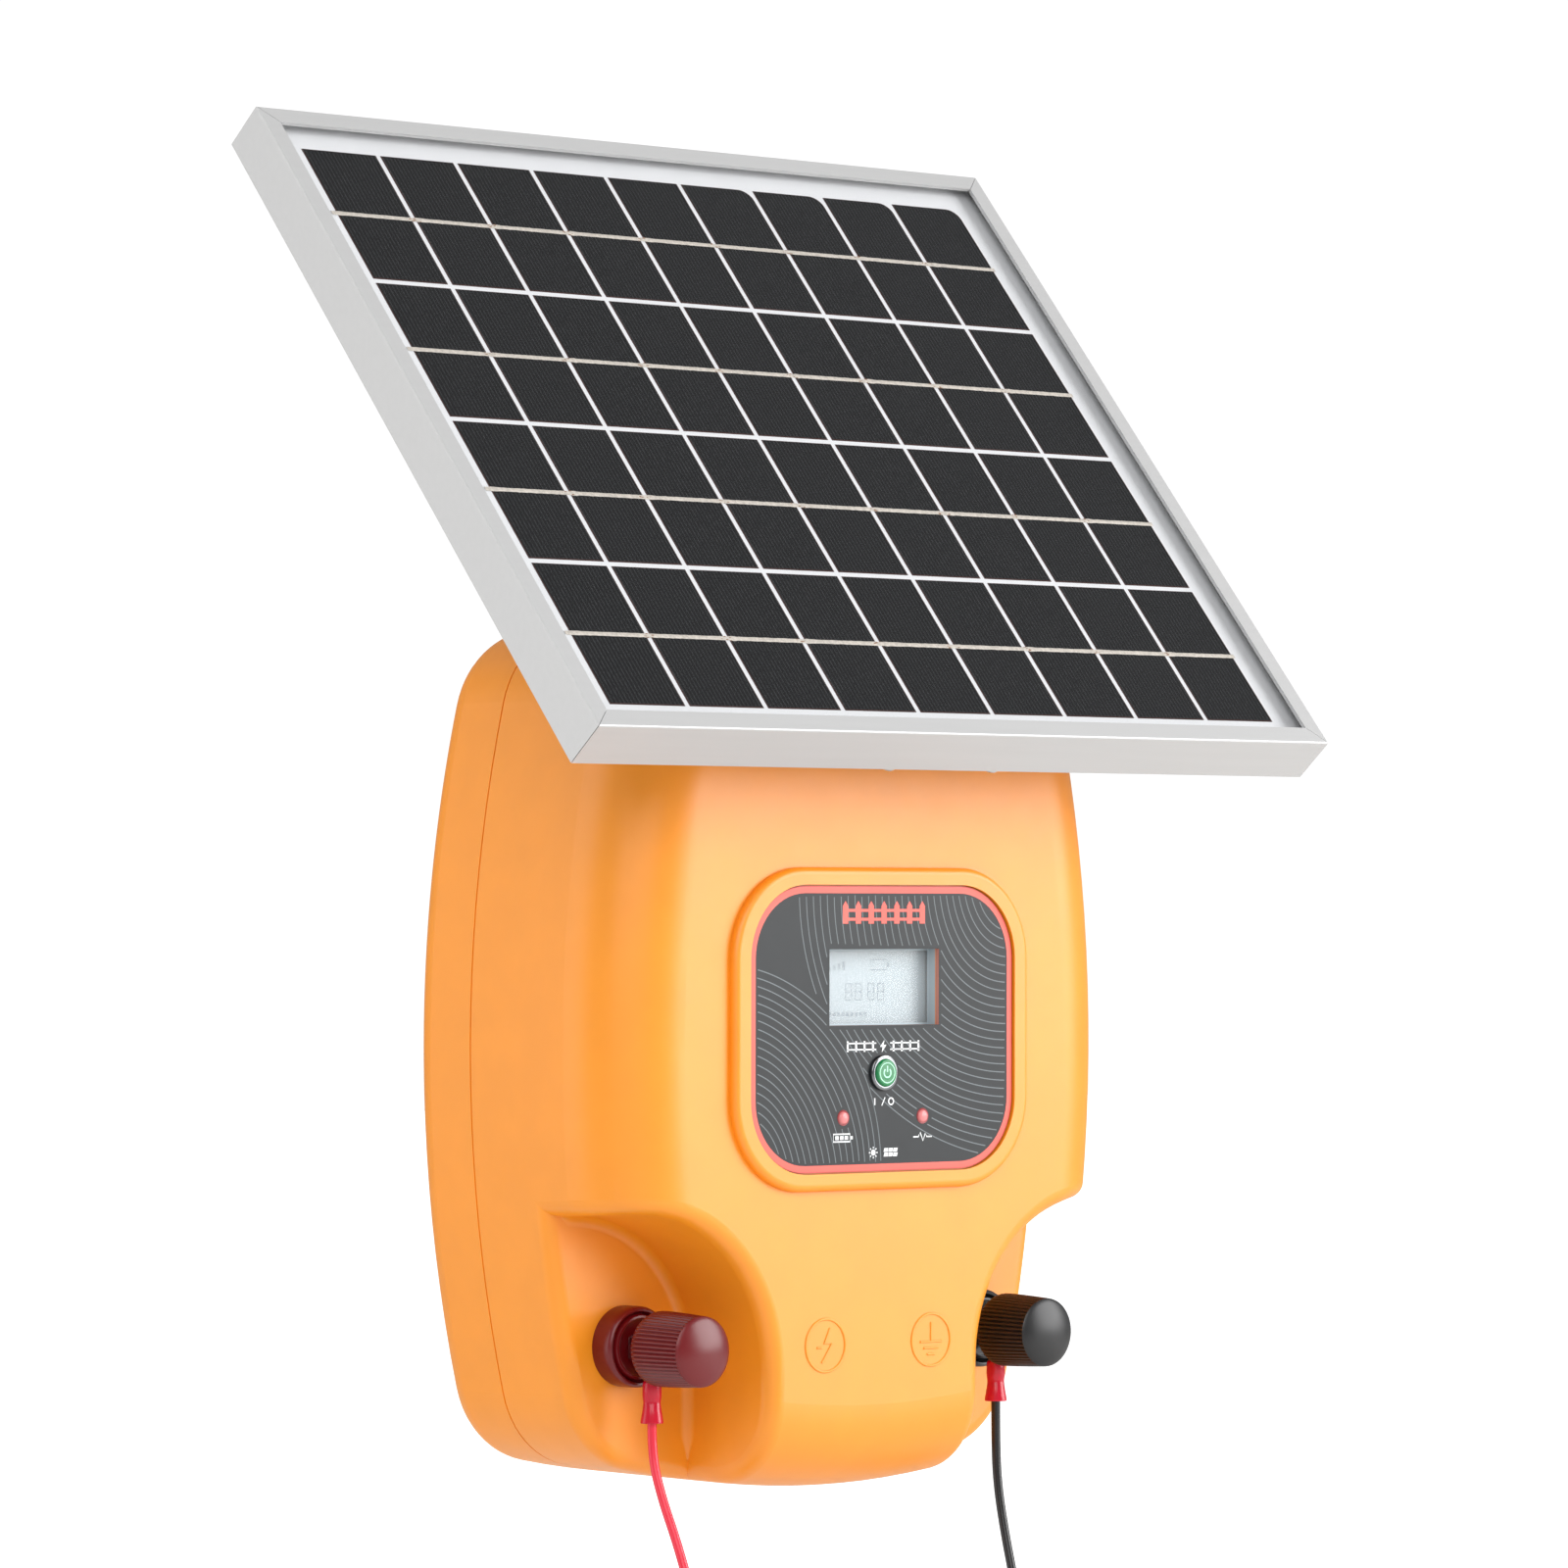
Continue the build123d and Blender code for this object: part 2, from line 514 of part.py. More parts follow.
def make_clip(colour, tip):
    """A crocodile clip hung on the end of a tail: base with the crimp barrel, jaw, and pin."""
    barrel_y, barrel_top = CLIP_BARREL
    place = Pos(tip[0], tip[1] - barrel_y, tip[2] - barrel_top)
    base = clip_half(1, 5.0, 1.22) + Pos(0, barrel_y, barrel_top / 2 - 2) * Cylinder(2.4, barrel_top + 4)
    save(place * base, f"{colour}_clip_base")
    save(place * clip_half(-1, 3.9, 1.28), f"{colour}_clip_jaw")
    return place * Pos(0, 0, CLIP_PIVOT) * Rot(0, 90, 0) * Cylinder(1.2, 11.4)


def make_leads():
    """Ring terminals, sleeves, leads, coils, ties and clips."""
    sides = (-TERMINAL_X, TERMINAL_X)
    save(Compound([make_ring_terminal(x) for x in sides]), "lead_ring_terminals")
    save(Compound([make_sleeve(x) for x in sides]), "lead_sleeves")
    ties = []
    pins = []
    for colour, route in (("red", RED_ROUTE), ("black", BLACK_ROUTE)):
        tie, tip = make_lead(colour, route)
        ties.append(tie)
        pins.append(make_clip(colour, tip))
    save(Compound(ties), "coil_ties")
    save(Compound(pins), "clip_pins")


# ---------------------------------------------------------------- solar panel

PANEL_PLACE = Pos(0, PANEL_EDGE_Y, PANEL_EDGE_Z) * Rot(PANEL_TILT, 0, 0)


def make_rail(length):
    """One frame rail along X with its outer face at Y = 0: wall, top lip, glass ledge and flange."""
    half = length / 2
    rail = block((-half, half), (0, RAIL_WALL), (-PANEL_THICKNESS, 0))
    rail += block((-half, half), (0, LIP), (GLASS_TOP, 0))
    rail += block((-half, half), (0, LIP + 1.5), (SHEET_BOTTOM - 1.2, SHEET_BOTTOM))
    rail += block((-half, half), (0, 12), (-PANEL_THICKNESS, -PANEL_THICKNESS + 1.5))
    end = half - MITRE_GAP
    mitre = Polygon((-end, 0), (end, 0), (end - 20, 20), (-end + 20, 20), align=None)
    rail &= Pos(0, 0, -PANEL_THICKNESS) * extrude(mitre, amount=PANEL_THICKNESS)
    crest = [edge for edge in rail.edges().filter_by(Axis.X)
             if edge.center().Y < 0.01 and edge.center().Z > -0.01]
    return fillet(crest, 0.6)


def make_panel():
    """The framed panel: four mitred rails, glass, cells, back sheet and junction box."""
    middle = PANEL_LENGTH / 2
    ends = make_rail(PANEL_WIDTH)
    for x, y in FLANGE_SCREWS:
        if y < middle:
            ends -= Pos(x, y, -PANEL_THICKNESS) * Cylinder(2.1, 5)
    side = Pos(-PANEL_WIDTH / 2, middle, 0) * Rot(0, 0, -90) * make_rail(PANEL_LENGTH)
    ends_pair = [ends, Pos(0, PANEL_LENGTH, 0) * Rot(0, 0, 180) * ends]
    side_pair = [side, mirror(side, Plane.YZ)]
    save(PANEL_PLACE * Compound(ends_pair), "frame_end_rails")
    save(PANEL_PLACE * Compound(side_pair), "frame_side_rails")

    half_width = PANEL_WIDTH / 2 - RAIL_WALL - 0.4
    edges_y = (RAIL_WALL + 0.4, PANEL_LENGTH - RAIL_WALL - 0.4)
    save(PANEL_PLACE * block((-half_width, half_width), edges_y, (GLASS_BOTTOM, GLASS_TOP)), "panel_glass")
    save(PANEL_PLACE * block((-half_width, half_width), edges_y, (SHEET_BOTTOM, CELL_BOTTOM)),
         "panel_backsheet")

    pitch_x = (PANEL_WIDTH - 2 * CELL_MARGIN[0] + CELL_GAP) / CELL_COLUMNS
    pitch_y = (PANEL_LENGTH - 2 * CELL_MARGIN[1] + CELL_GAP) / CELL_ROWS
    cells = []
    for column in range(CELL_COLUMNS):
        for row in range(CELL_ROWS):
            x = -PANEL_WIDTH / 2 + CELL_MARGIN[0] + column * pitch_x
            y = CELL_MARGIN[1] + row * pitch_y
            cells.append(block((x, x + pitch_x - CELL_GAP), (y, y + pitch_y - CELL_GAP),
                               (CELL_BOTTOM, GLASS_BOTTOM)))
    save(PANEL_PLACE * Compound(cells), "solar_cells")

    box = block((48, 108), (150, 200), (-15.5, SHEET_BOTTOM))
    box = fillet(box.edges().filter_by(Axis.Z), 4)
    box += Pos(78, 146, -10.5) * Rot(90, 0, 0) * Cylinder(3.6, 10)
    save(PANEL_PLACE * box, "junction_box")


def make_panel_mount():
    """The crossbar under the panel, the yoke on the housing, and the pivot bolt between them."""
    tilt = radians(PANEL_TILT)
    ahead, above = PIVOT_Y - PANEL_EDGE_Y, PIVOT_Z - PANEL_EDGE_Z
    pivot_y = ahead * cos(tilt) + above * sin(tilt)
    pivot_z = -ahead * sin(tilt) + above * cos(tilt)

    bar = block((-35.1, 35.1), (3, PANEL_LENGTH - 3), (-PANEL_THICKNESS - 2.5, -PANEL_THICKNESS))
    bar = fillet(bar.edges().filter_by(Axis.Z), 4)
    top = -PANEL_THICKNESS - 1
    ear = Polygon((pivot_y - 9.6, pivot_z - 2), (pivot_y + 9.6, pivot_z - 2), (pivot_y + 32, top),
                  (pivot_y - 32, top), align=None)
    ear += Pos(pivot_y, pivot_z) * Circle(10)
    ear -= Pos(pivot_y, pivot_z) * Circle(PIVOT_RADIUS + 0.08)
    for side in (-1, 1):
        bar += extrude(Plane.YZ.offset(side * 35.1) * ear, amount=-side * 2.5)
    for x, y in FLANGE_SCREWS:
        bar -= Pos(x, y, -PANEL_THICKNESS) * Cylinder(2.1, 8)
    save(PANEL_PLACE * bar, "panel_crossbar")
    screws = []
    for x, y in FLANGE_SCREWS:
        screw = Pos(x, y, -PANEL_THICKNESS - 3.7) * fillet(Cylinder(4, 2.4).edges().sort_by(Axis.Z)[0], 1)
        screws.append(screw + Pos(x, y, -PANEL_THICKNESS + 0.75) * Cylinder(2.0, 6.5))
    save(PANEL_PLACE * Compound(screws), "crossbar_screws")

    yoke = block((-32, 32), (-93, -67), (YOKE_TOP_Z, YOKE_TOP_Z + 2.5))
    ear = Polygon((-92, YOKE_TOP_Z), (-68, YOKE_TOP_Z), (PIVOT_Y + 9.6, PIVOT_Z + 2),
                  (PIVOT_Y - 9.6, PIVOT_Z + 2), align=None)
    ear += Pos(PIVOT_Y, PIVOT_Z) * Circle(10)
    ear -= Pos(PIVOT_Y, PIVOT_Z) * Circle(PIVOT_RADIUS + 0.05)
    for side in (-1, 1):
        yoke += extrude(Plane.YZ.offset(side * 32) * ear, amount=-side * 2.5)
    screws = []
    for x, y in YOKE_SCREWS:
        yoke -= Pos(x, y, YOKE_TOP_Z) * Cylinder(2.1, 8)
        screw = Pos(x, y, YOKE_TOP_Z + 3.7) * fillet(Cylinder(3.8, 2.4).edges().sort_by(Axis.Z)[-1], 1)
        screws.append(screw + Pos(x, y, YOKE_TOP_Z - 2.75) * Cylinder(1.85, 10.5))
    save(yoke, "panel_yoke")
    save(Compound(screws), "yoke_screws")

    across = Pos(0, PIVOT_Y, PIVOT_Z) * Rot(0, 90, 0)
    bolt = Pos(0, 0, 3.4) * Cylinder(PIVOT_RADIUS, 78)
    bolt += Pos(0, 0, -38.4) * extrude(RegularPolygon(6.5, 6, major_radius=False), amount=2.8, both=True)
    save(across * bolt, "pivot_bolt")
    nut = RegularPolygon(6.5, 6, major_radius=False) - Circle(PIVOT_RADIUS + 0.02)
    save(across * Pos(0, 0, 35.6) * extrude(nut, amount=6.2), "pivot_nut")


# ---------------------------------------------------------------- wall bracket

def make_wall_mount():
    """The hat-shaped bracket with keyholes, the shouldered hanger screws, and the cable inlet."""
    reach = BACK_Y + SHEET
    web = BRACKET_HALF_WIDTH - SHEET / 2
    path = FilletPolyline((-FLANGE_HALF_WIDTH, -SHEET / 2), (-web, -SHEET / 2), (-web, reach),
                          (web, reach), (web, -SHEET / 2), (FLANGE_HALF_WIDTH, -SHEET / 2), radius=2.5)
    bracket = extrude(trace(path, SHEET), amount=BRACKET_HALF_HEIGHT, both=True)
    for x, z in WALL_HOLES:
        bracket -= rod(x, z, WALL_HOLE_RADIUS, 5, -5)
    for x, z in HANGER_PLACES:
        keyhole = Pos(x, z) * Circle(2.75) + Pos(x, z + 6) * Rectangle(5.5, 12)
        keyhole += Pos(x, z + 12) * Circle(5.3)
        bracket -= plate(keyhole, BACK_Y + 6, BACK_Y)
    save(bracket, "wall_bracket")
    hangers = []
    for x, z in HANGER_PLACES:
        head = rod(x, z, 4.8, BACK_Y + 6.2, BACK_Y + 3.4)
        head = fillet(head.faces().sort_by(Axis.Y)[-1].edges(), 1.2)
        hangers.append(head + rod(x, z, 2.5, BACK_Y + 3.4, BACK_Y - 6.5))
    save(Compound(hangers), "hanger_screws")
    inlet = rod(0, INLET_Z, 9.5, BACK_Y + 3, BACK_Y) + rod(0, INLET_Z, INLET_RADIUS, BACK_Y, BACK_Y - 11)
    save(inlet - rod(0, INLET_Z, 2.5, 0, BACK_Y - 7), "panel_inlet")


make_housing()
make_front_panel()
make_electronics()
make_terminals()
make_leads()
make_panel()
make_panel_mount()
make_wall_mount()
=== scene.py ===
import bpy, bmesh, json, math, random
from mathutils import Matrix, Vector


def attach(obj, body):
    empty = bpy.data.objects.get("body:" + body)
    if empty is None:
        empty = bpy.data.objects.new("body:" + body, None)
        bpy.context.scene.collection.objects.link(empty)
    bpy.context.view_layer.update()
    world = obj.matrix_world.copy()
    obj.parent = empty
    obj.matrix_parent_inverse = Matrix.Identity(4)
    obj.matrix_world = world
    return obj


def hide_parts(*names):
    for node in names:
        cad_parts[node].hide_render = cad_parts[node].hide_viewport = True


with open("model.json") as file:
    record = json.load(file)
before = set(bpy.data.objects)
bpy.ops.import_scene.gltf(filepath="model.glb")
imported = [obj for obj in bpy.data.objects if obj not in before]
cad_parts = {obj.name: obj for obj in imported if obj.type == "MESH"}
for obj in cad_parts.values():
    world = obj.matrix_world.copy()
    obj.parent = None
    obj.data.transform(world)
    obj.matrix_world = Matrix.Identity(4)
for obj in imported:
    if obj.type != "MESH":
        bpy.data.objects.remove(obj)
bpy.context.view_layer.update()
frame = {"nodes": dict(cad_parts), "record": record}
nodes = frame["nodes"]
random.seed(7)
MM = 0.001


# ------------------------------------------------------------------ camera

def make_camera():
    azimuth, pitch, roll = 0.726303, -0.017287, -0.001649
    level = math.cos(pitch)
    ahead = Vector((math.sin(azimuth) * level, math.cos(azimuth) * level, -math.sin(pitch)))
    right = Vector((math.cos(azimuth), -math.sin(azimuth), 0))
    down = ahead.cross(right)
    turned = math.cos(roll) * right + math.sin(roll) * down
    down = math.cos(roll) * down - math.sin(roll) * right
    camera = bpy.data.objects.new("camera", bpy.data.cameras.new("camera"))
    bpy.context.scene.collection.objects.link(camera)
    turn = Matrix((turned, -down, -ahead)).transposed().to_4x4()
    camera.matrix_world = Matrix.Translation((-1.44818, -1.72180, 0.04032)) @ turn
    camera.data.lens = 155.376
    camera.data.sensor_width = 36
    camera.data.clip_start, camera.data.clip_end = 0.1, 60
    bpy.context.scene.camera = camera


make_camera()


# ------------------------------------------------------------------ mesh helpers

def add(name, data):
    obj = bpy.data.objects.new(name, data)
    bpy.context.scene.collection.objects.link(obj)
    return obj


def mesh_piece(name, verts, faces, smooth=True):
    data = bpy.data.meshes.new(name)
    data.from_pydata([tuple(v) for v in verts], [], faces)
    data.validate()
    bm = bmesh.new()
    bm.from_mesh(data)
    bmesh.ops.recalc_face_normals(bm, faces=bm.faces)
    bm.to_mesh(data)
    bm.free()
    obj = add(name, data)
    if smooth:
        shade(obj)
    return obj


def shade(obj, angle=35):
    for polygon in obj.data.polygons:
        polygon.use_smooth = True
    obj.data.set_sharp_from_angle(angle=math.radians(angle))


def finish_piece(obj, material, body, slot, replaced=()):
    obj.data.materials.clear()
    obj.data.materials.append(material)
    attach(obj, body)
    if replaced:
        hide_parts(*replaced)
    return obj


def lathe(profile, segments=64, ripple=None):
    """Verts and faces of a profile of (radius, height) turned about Z.

    ripple(angle, radius, height) changes the radius.
    """
    verts, faces, rings = [], [], []
    for radius, height in profile:
        if radius < 1e-7:
            rings.append([len(verts)])
            verts.append((0, 0, height))
            continue
        ring = []
        for i in range(segments):
            angle = 2 * math.pi * i / segments
            r = ripple(angle, radius, height) if ripple else radius
            ring.append(len(verts))
            verts.append((r * math.cos(angle), r * math.sin(angle), height))
        rings.append(ring)
    for low, high in zip(rings, rings[1:]):
        for i in range(segments):
            j = (i + 1) % segments
            if len(low) == 1:
                faces.append((low[0], high[i], high[j]))
            elif len(high) == 1:
                faces.append((low[i], low[j], high[0]))
            else:
                faces.append((low[i], low[j], high[j], high[i]))
    return verts, faces


def placed(verts, matrix):
    return [matrix @ Vector(v) for v in verts]


def toward_front(x, y, z):
    """Matrix at a place in mm whose local Z points at the front (-Y) and X along X: mm in, metres out."""
    turn = Matrix(((1, 0, 0), (0, 0, -1), (0, 1, 0))).to_4x4()
    return Matrix.Translation((x * MM, y * MM, z * MM)) @ turn @ Matrix.Scale(MM, 4)


# ------------------------------------------------------------------ material helpers

def srgb(r, g, b):
    out = []
    for c in (r, g, b):
        c /= 255
        out.append(c / 12.92 if c <= 0.04045 else ((c + 0.055) / 1.055) ** 2.4)
    return (*out, 1)


def shader(name, colour, roughness=0.5, **sockets):
    mat = bpy.data.materials.new(name)
    mat.use_nodes = True
    tree = mat.node_tree
    bsdf = tree.nodes["Principled BSDF"]
    bsdf.inputs["Base Color"].default_value = colour
    bsdf.inputs["Roughness"].default_value = roughness
    for key, value in sockets.items():
        bsdf.inputs[key.replace("_", " ")].default_value = value
    return mat


def node(mat, kind, **settings):
    made = mat.node_tree.nodes.new(kind)
    for key, value in settings.items():
        if key.startswith("in_"):
            made.inputs[key[3:].replace("_", " ")].default_value = value
        else:
            setattr(made, key, value)
    return made


def link(mat, a, out, b, into):
    mat.node_tree.links.new(a.outputs[out], b.inputs[into])


def place_coords(mat, scale=(1, 1, 1), location=(0, 0, 0), rotation=(0, 0, 0)):
    coords = node(mat, "ShaderNodeTexCoord")
    mapping = node(mat, "ShaderNodeMapping")
    mapping.inputs["Scale"].default_value = scale
    mapping.inputs["Location"].default_value = location
    mapping.inputs["Rotation"].default_value = rotation
    link(mat, coords, "Object", mapping, "Vector")
    return mapping


def speckle(mat, scale, low, high, detail=3.0, stretch=(1, 1, 1), contrast=(0.35, 0.65)):
    """A noise that moves the base colour between two shades."""
    bsdf = mat.node_tree.nodes["Principled BSDF"]
    mapping = place_coords(mat, stretch)
    tex = node(mat, "ShaderNodeTexNoise", in_Scale=scale, in_Detail=detail)
    ramp = node(mat, "ShaderNodeValToRGB")
    ramp.color_ramp.elements[0].position, ramp.color_ramp.elements[1].position = contrast
    ramp.color_ramp.elements[0].color, ramp.color_ramp.elements[1].color = low, high
    link(mat, mapping, "Vector", tex, "Vector")
    link(mat, tex, "Fac", ramp, "Fac")
    link(mat, ramp, "Color", bsdf, "Base Color")
    return mapping


def uneven(mat, scale, low, high, stretch=(1, 1, 1), detail=2.0):
    """A noise that moves the roughness between two values."""
    bsdf = mat.node_tree.nodes["Principled BSDF"]
    mapping = place_coords(mat, stretch)
    tex = node(mat, "ShaderNodeTexNoise", in_Scale=scale, in_Detail=detail)
    span = node(mat, "ShaderNodeMapRange")
    span.inputs["To Min"].default_value, span.inputs["To Max"].default_value = low, high
    link(mat, mapping, "Vector", tex, "Vector")
    link(mat, tex, "Fac", span, "Value")
    link(mat, span, "Result", bsdf, "Roughness")


def grain(mat, scale, strength, distance=0.0001, stretch=(1, 1, 1), detail=2.0):
    """A noise bump."""
    bsdf = mat.node_tree.nodes["Principled BSDF"]
    mapping = place_coords(mat, stretch)
    tex = node(mat, "ShaderNodeTexNoise", in_Scale=scale, in_Detail=detail)
    bump = node(mat, "ShaderNodeBump")
    bump.inputs["Strength"].default_value = strength
    bump.inputs["Distance"].default_value = distance
    link(mat, mapping, "Vector", tex, "Vector")
    link(mat, tex, "Fac", bump, "Height")
    link(mat, bump, "Normal", bsdf, "Normal")


def moulded(name, colour, low, high, rough=(0.4, 0.5), grain_scale=2600, strength=0.12, **sockets):
    """Moulded plastic: mottled by a few percent, uneven gloss, fine texture."""
    mat = shader(name, colour, rough[0], **sockets)
    speckle(mat, 60, low, high)
    uneven(mat, 180, *rough)
    grain(mat, grain_scale, strength, 0.00006)
    return mat


def shades(colour, by=0.06):
    return tuple(tuple(min(1, c * k) for c in colour[:3]) + (1,) for k in (1 - by, 1 + by))


def metal(name, colour, rough=(0.25, 0.35), stretch=(1, 1, 1), scale=700, strength=0.08, by=0.05):
    """Metal with a grain drawn out along one axis."""
    mat = shader(name, colour, rough[0], Metallic=1.0)
    speckle(mat, scale * 0.3, *shades(colour, by), stretch=stretch)
    uneven(mat, scale * 0.5, *rough, stretch=stretch)
    grain(mat, scale, strength, 0.00004, stretch=stretch)
    return mat


# ------------------------------------------------------------------ materials

M = {}


def plastic(name, colour, by, **look):
    """Adds a moulded plastic whose mottle stays within `by` of its colour."""
    M[name] = moulded(name, colour, *shades(colour, by), **look)


ORANGE = srgb(243, 148, 25)
plastic("orange_plastic", ORANGE, 0.02, rough=(0.36, 0.42), grain_scale=1800, strength=0.10,
        Specular_IOR_Level=0.7, Subsurface_Weight=0.06, Subsurface_Scale=0.004)
orange_shader = M["orange_plastic"].node_tree.nodes["Principled BSDF"]
orange_shader.inputs["Subsurface Radius"].default_value = (1.0, 0.5, 0.15)
RUBBER = srgb(246, 168, 66)
plastic("seam_rubber", RUBBER, 0.03, rough=(0.6, 0.7))
ZINC = (0.60, 0.61, 0.62, 1)
M["zinc_screws"] = metal("zinc_screws", ZINC, (0.22, 0.34), scale=500)
M["zinc_sheet"] = metal("zinc_sheet", (0.52, 0.54, 0.56, 1), (0.30, 0.46), scale=90, strength=0.10, by=0.10)
LABEL = srgb(14, 20, 24)
plastic("label_film", LABEL, 0.03, rough=(0.40, 0.46), grain_scale=3500, strength=0.06,
        Specular_IOR_Level=0.4)
M["clear_window"] = shader("clear_window", (0.60, 0.63, 0.65, 1), 0.08, Alpha=0.12)
plastic("lcd_panel", srgb(182, 196, 202), 0.02, rough=(0.28, 0.34))
BOARD = srgb(18, 92, 48)
plastic("green_board", BOARD, 0.12, rough=(0.25, 0.35))
LED, LED_MOTTLE = srgb(246, 150, 150), srgb(244, 146, 146)
M["led_red"] = moulded("led_red", LED, *shades(LED_MOTTLE, 0.04), rough=(0.15, 0.22),
                       Transmission_Weight=0.25)
M["dark_chrome"] = metal("dark_chrome", (0.22, 0.23, 0.24, 1), (0.10, 0.18), scale=900, strength=0.03)
GREEN = srgb(10, 128, 70)
plastic("green_button", GREEN, 0.06, rough=(0.15, 0.22), Transmission_Weight=0.1)
BLACK = (0.009, 0.009, 0.010, 1)
plastic("black_plastic", BLACK, 0.08, rough=(0.30, 0.38), strength=0.03)
M["iron_core"] = metal("iron_core", (0.18, 0.18, 0.19, 1), (0.45, 0.60), stretch=(1, 30, 1), scale=200)
TAPE = srgb(226, 190, 60)
plastic("winding_tape", TAPE, 0.06, rough=(0.3, 0.4))
plastic("grey_film", (0.30, 0.32, 0.35, 1), 0.06, rough=(0.2, 0.3))
M["black_aluminium"] = metal("black_aluminium", (0.04, 0.04, 0.04, 1), (0.40, 0.55), scale=400)
plastic("ribbon_grey", (0.5, 0.5, 0.52, 1), 0.08, rough=(0.5, 0.6))
WIRE = srgb(170, 20, 20)
plastic("wire_insulation", WIRE, 0.08, rough=(0.3, 0.4))
DARK_RED = srgb(104, 8, 14)
plastic("dark_red_plastic", DARK_RED, 0.02, rough=(0.26, 0.32), grain_scale=2400, strength=0.02)
M["bright_steel"] = metal("bright_steel", (0.70, 0.70, 0.70, 1), (0.12, 0.24), scale=900, strength=0.05)
VINYL = srgb(205, 8, 44)
plastic("red_vinyl", VINYL, 0.05, rough=(0.14, 0.22), Transmission_Weight=0.15)
CORD = srgb(226, 44, 66)
plastic("red_cord", CORD, 0.04, rough=(0.22, 0.30), grain_scale=1500, strength=0.08)
plastic("black_cord", (0.012, 0.012, 0.013, 1), 0.15, rough=(0.22, 0.30), grain_scale=1500, strength=0.08)
M["clip_steel"] = metal("clip_steel", (0.60, 0.61, 0.62, 1), (0.18, 0.30), scale=600)
M["anodised_frame"] = metal("anodised_frame", (0.56, 0.56, 0.56, 1), (0.42, 0.48), stretch=(0.04, 1, 1),
                            scale=1500, strength=0.02, by=0.008)
M["anodised_frame"].node_tree.nodes["Principled BSDF"].inputs["Metallic"].default_value = 0.4
M["panel_glass"] = shader("panel_glass", (0.03, 0.035, 0.04, 1), 0.05, Alpha=0.06)
M["silicon_cell"] = shader("silicon_cell", (0.012, 0.012, 0.014, 1), 0.30, Specular_IOR_Level=0.25)
plastic("white_backsheet", (0.80, 0.81, 0.83, 1), 0.01, rough=(0.30, 0.38))

slots = {part["node"]: part["material_slot"] for part in frame["record"]["subparts"]}
for name, obj in nodes.items():
    obj.data.materials.clear()
    obj.data.materials.append(M[slots[name]])


# ------------------------------------------------------------------ leads

INNER_TURN, TURN_GROWTH, TURN_PITCH = 16.0, 3.2, 3.1
TURNS_OUT, TURNS_BACK = 4, 3
LEAD_DIAMETER = 0.003


def coil_points(x0, y_end, zc):
    """Four turns going out and three wider ones coming back, about an axis along X."""
    steps, centre_y = 16, y_end + INNER_TURN
    points = []
    for i in range(1, (TURNS_OUT + TURNS_BACK) * steps + 1):
        turns = i / steps
        blend = min(1.0, max(0.0, (turns - 3.75) * 2))
        blend = blend * blend * (3 - 2 * blend)
        radius = INNER_TURN + TURN_GROWTH * blend
        x = x0 + TURN_PITCH * (turns if turns <= TURNS_OUT else 2 * TURNS_OUT - turns)
        angle = 2 * math.pi * turns
        points.append((x, centre_y - radius * math.cos(angle), zc - radius * math.sin(angle)))
    return points


def make_lead(colour, route, material):
    x0, y_end, zc = route[-1]
    points = route + coil_points(x0, y_end, zc)
    tx, ty = x0 + TURN_PITCH * (TURNS_OUT - TURNS_BACK), y_end - TURN_GROWTH
    points += [(tx, ty - 0.9, zc - 24), (tx + 0.6, ty + 0.6, zc - 48), (tx + 0.6, ty + 0.6, zc - 72)]
    curve = bpy.data.curves.new(colour + "_lead_line", "CURVE")
    curve.dimensions = "3D"
    spline = curve.splines.new("NURBS")
    spline.points.add(len(points) - 1)
    for point, place in zip(spline.points, points):
        point.co = (place[0] * MM, place[1] * MM, place[2] * MM, 1)
    spline.order_u = 3
    spline.use_endpoint_u = True
    spline.resolution_u = 6
    curve.bevel_depth = LEAD_DIAMETER / 2
    curve.bevel_resolution = 5
    curve.use_fill_caps = True
    lead = add(colour + "_lead_cord", curve)
    curve.materials.append(material)
    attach(lead, "housing")
    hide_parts(colour + "_lead", colour + "_lead_coil", colour + "_lead_tail")
    return lead


RED_ROUTE = [(-73.8, -113.0, -122.8), (-73.8, -113.0, -133.0), (-73.9, -117.8, -145.5),
             (-74.1, -125.4, -159.0), (-74.1, -131.2, -172.0), (-74.0, -134.0, -184.0),
             (-74.0, -134.3, -195.0)]
BLACK_ROUTE = [(73.8, -113.0, -122.8), (73.8, -113.0, -136.0), (73.9, -113.8, -150.0),
               (74.1, -117.2, -166.0), (74.1, -121.6, -181.0), (74.0, -123.6, -194.0),
               (74.0, -123.9, -205.0)]
make_lead("red", RED_ROUTE, M["red_cord"])
make_lead("black", BLACK_ROUTE, M["black_cord"])


# ------------------------------------------------------------------ flat print

def rounded_outline(width, height, radius, steps=14, cx=0.0, cz=0.0):
    points = []
    for qx, qz, start in ((1, 1, 0), (-1, 1, 90), (-1, -1, 180), (1, -1, 270)):
        for i in range(steps + 1):
            a = math.radians(start + 90 * i / steps)
            points.append((cx + qx * (width / 2 - radius) + radius * math.cos(a),
                           cz + qz * (height / 2 - radius) + radius * math.sin(a)))
    return points


def circle(x, z, radius, steps):
    turns = [2 * math.pi * i / steps for i in range(steps)]
    return [(x + radius * math.cos(a), z + radius * math.sin(a)) for a in turns]


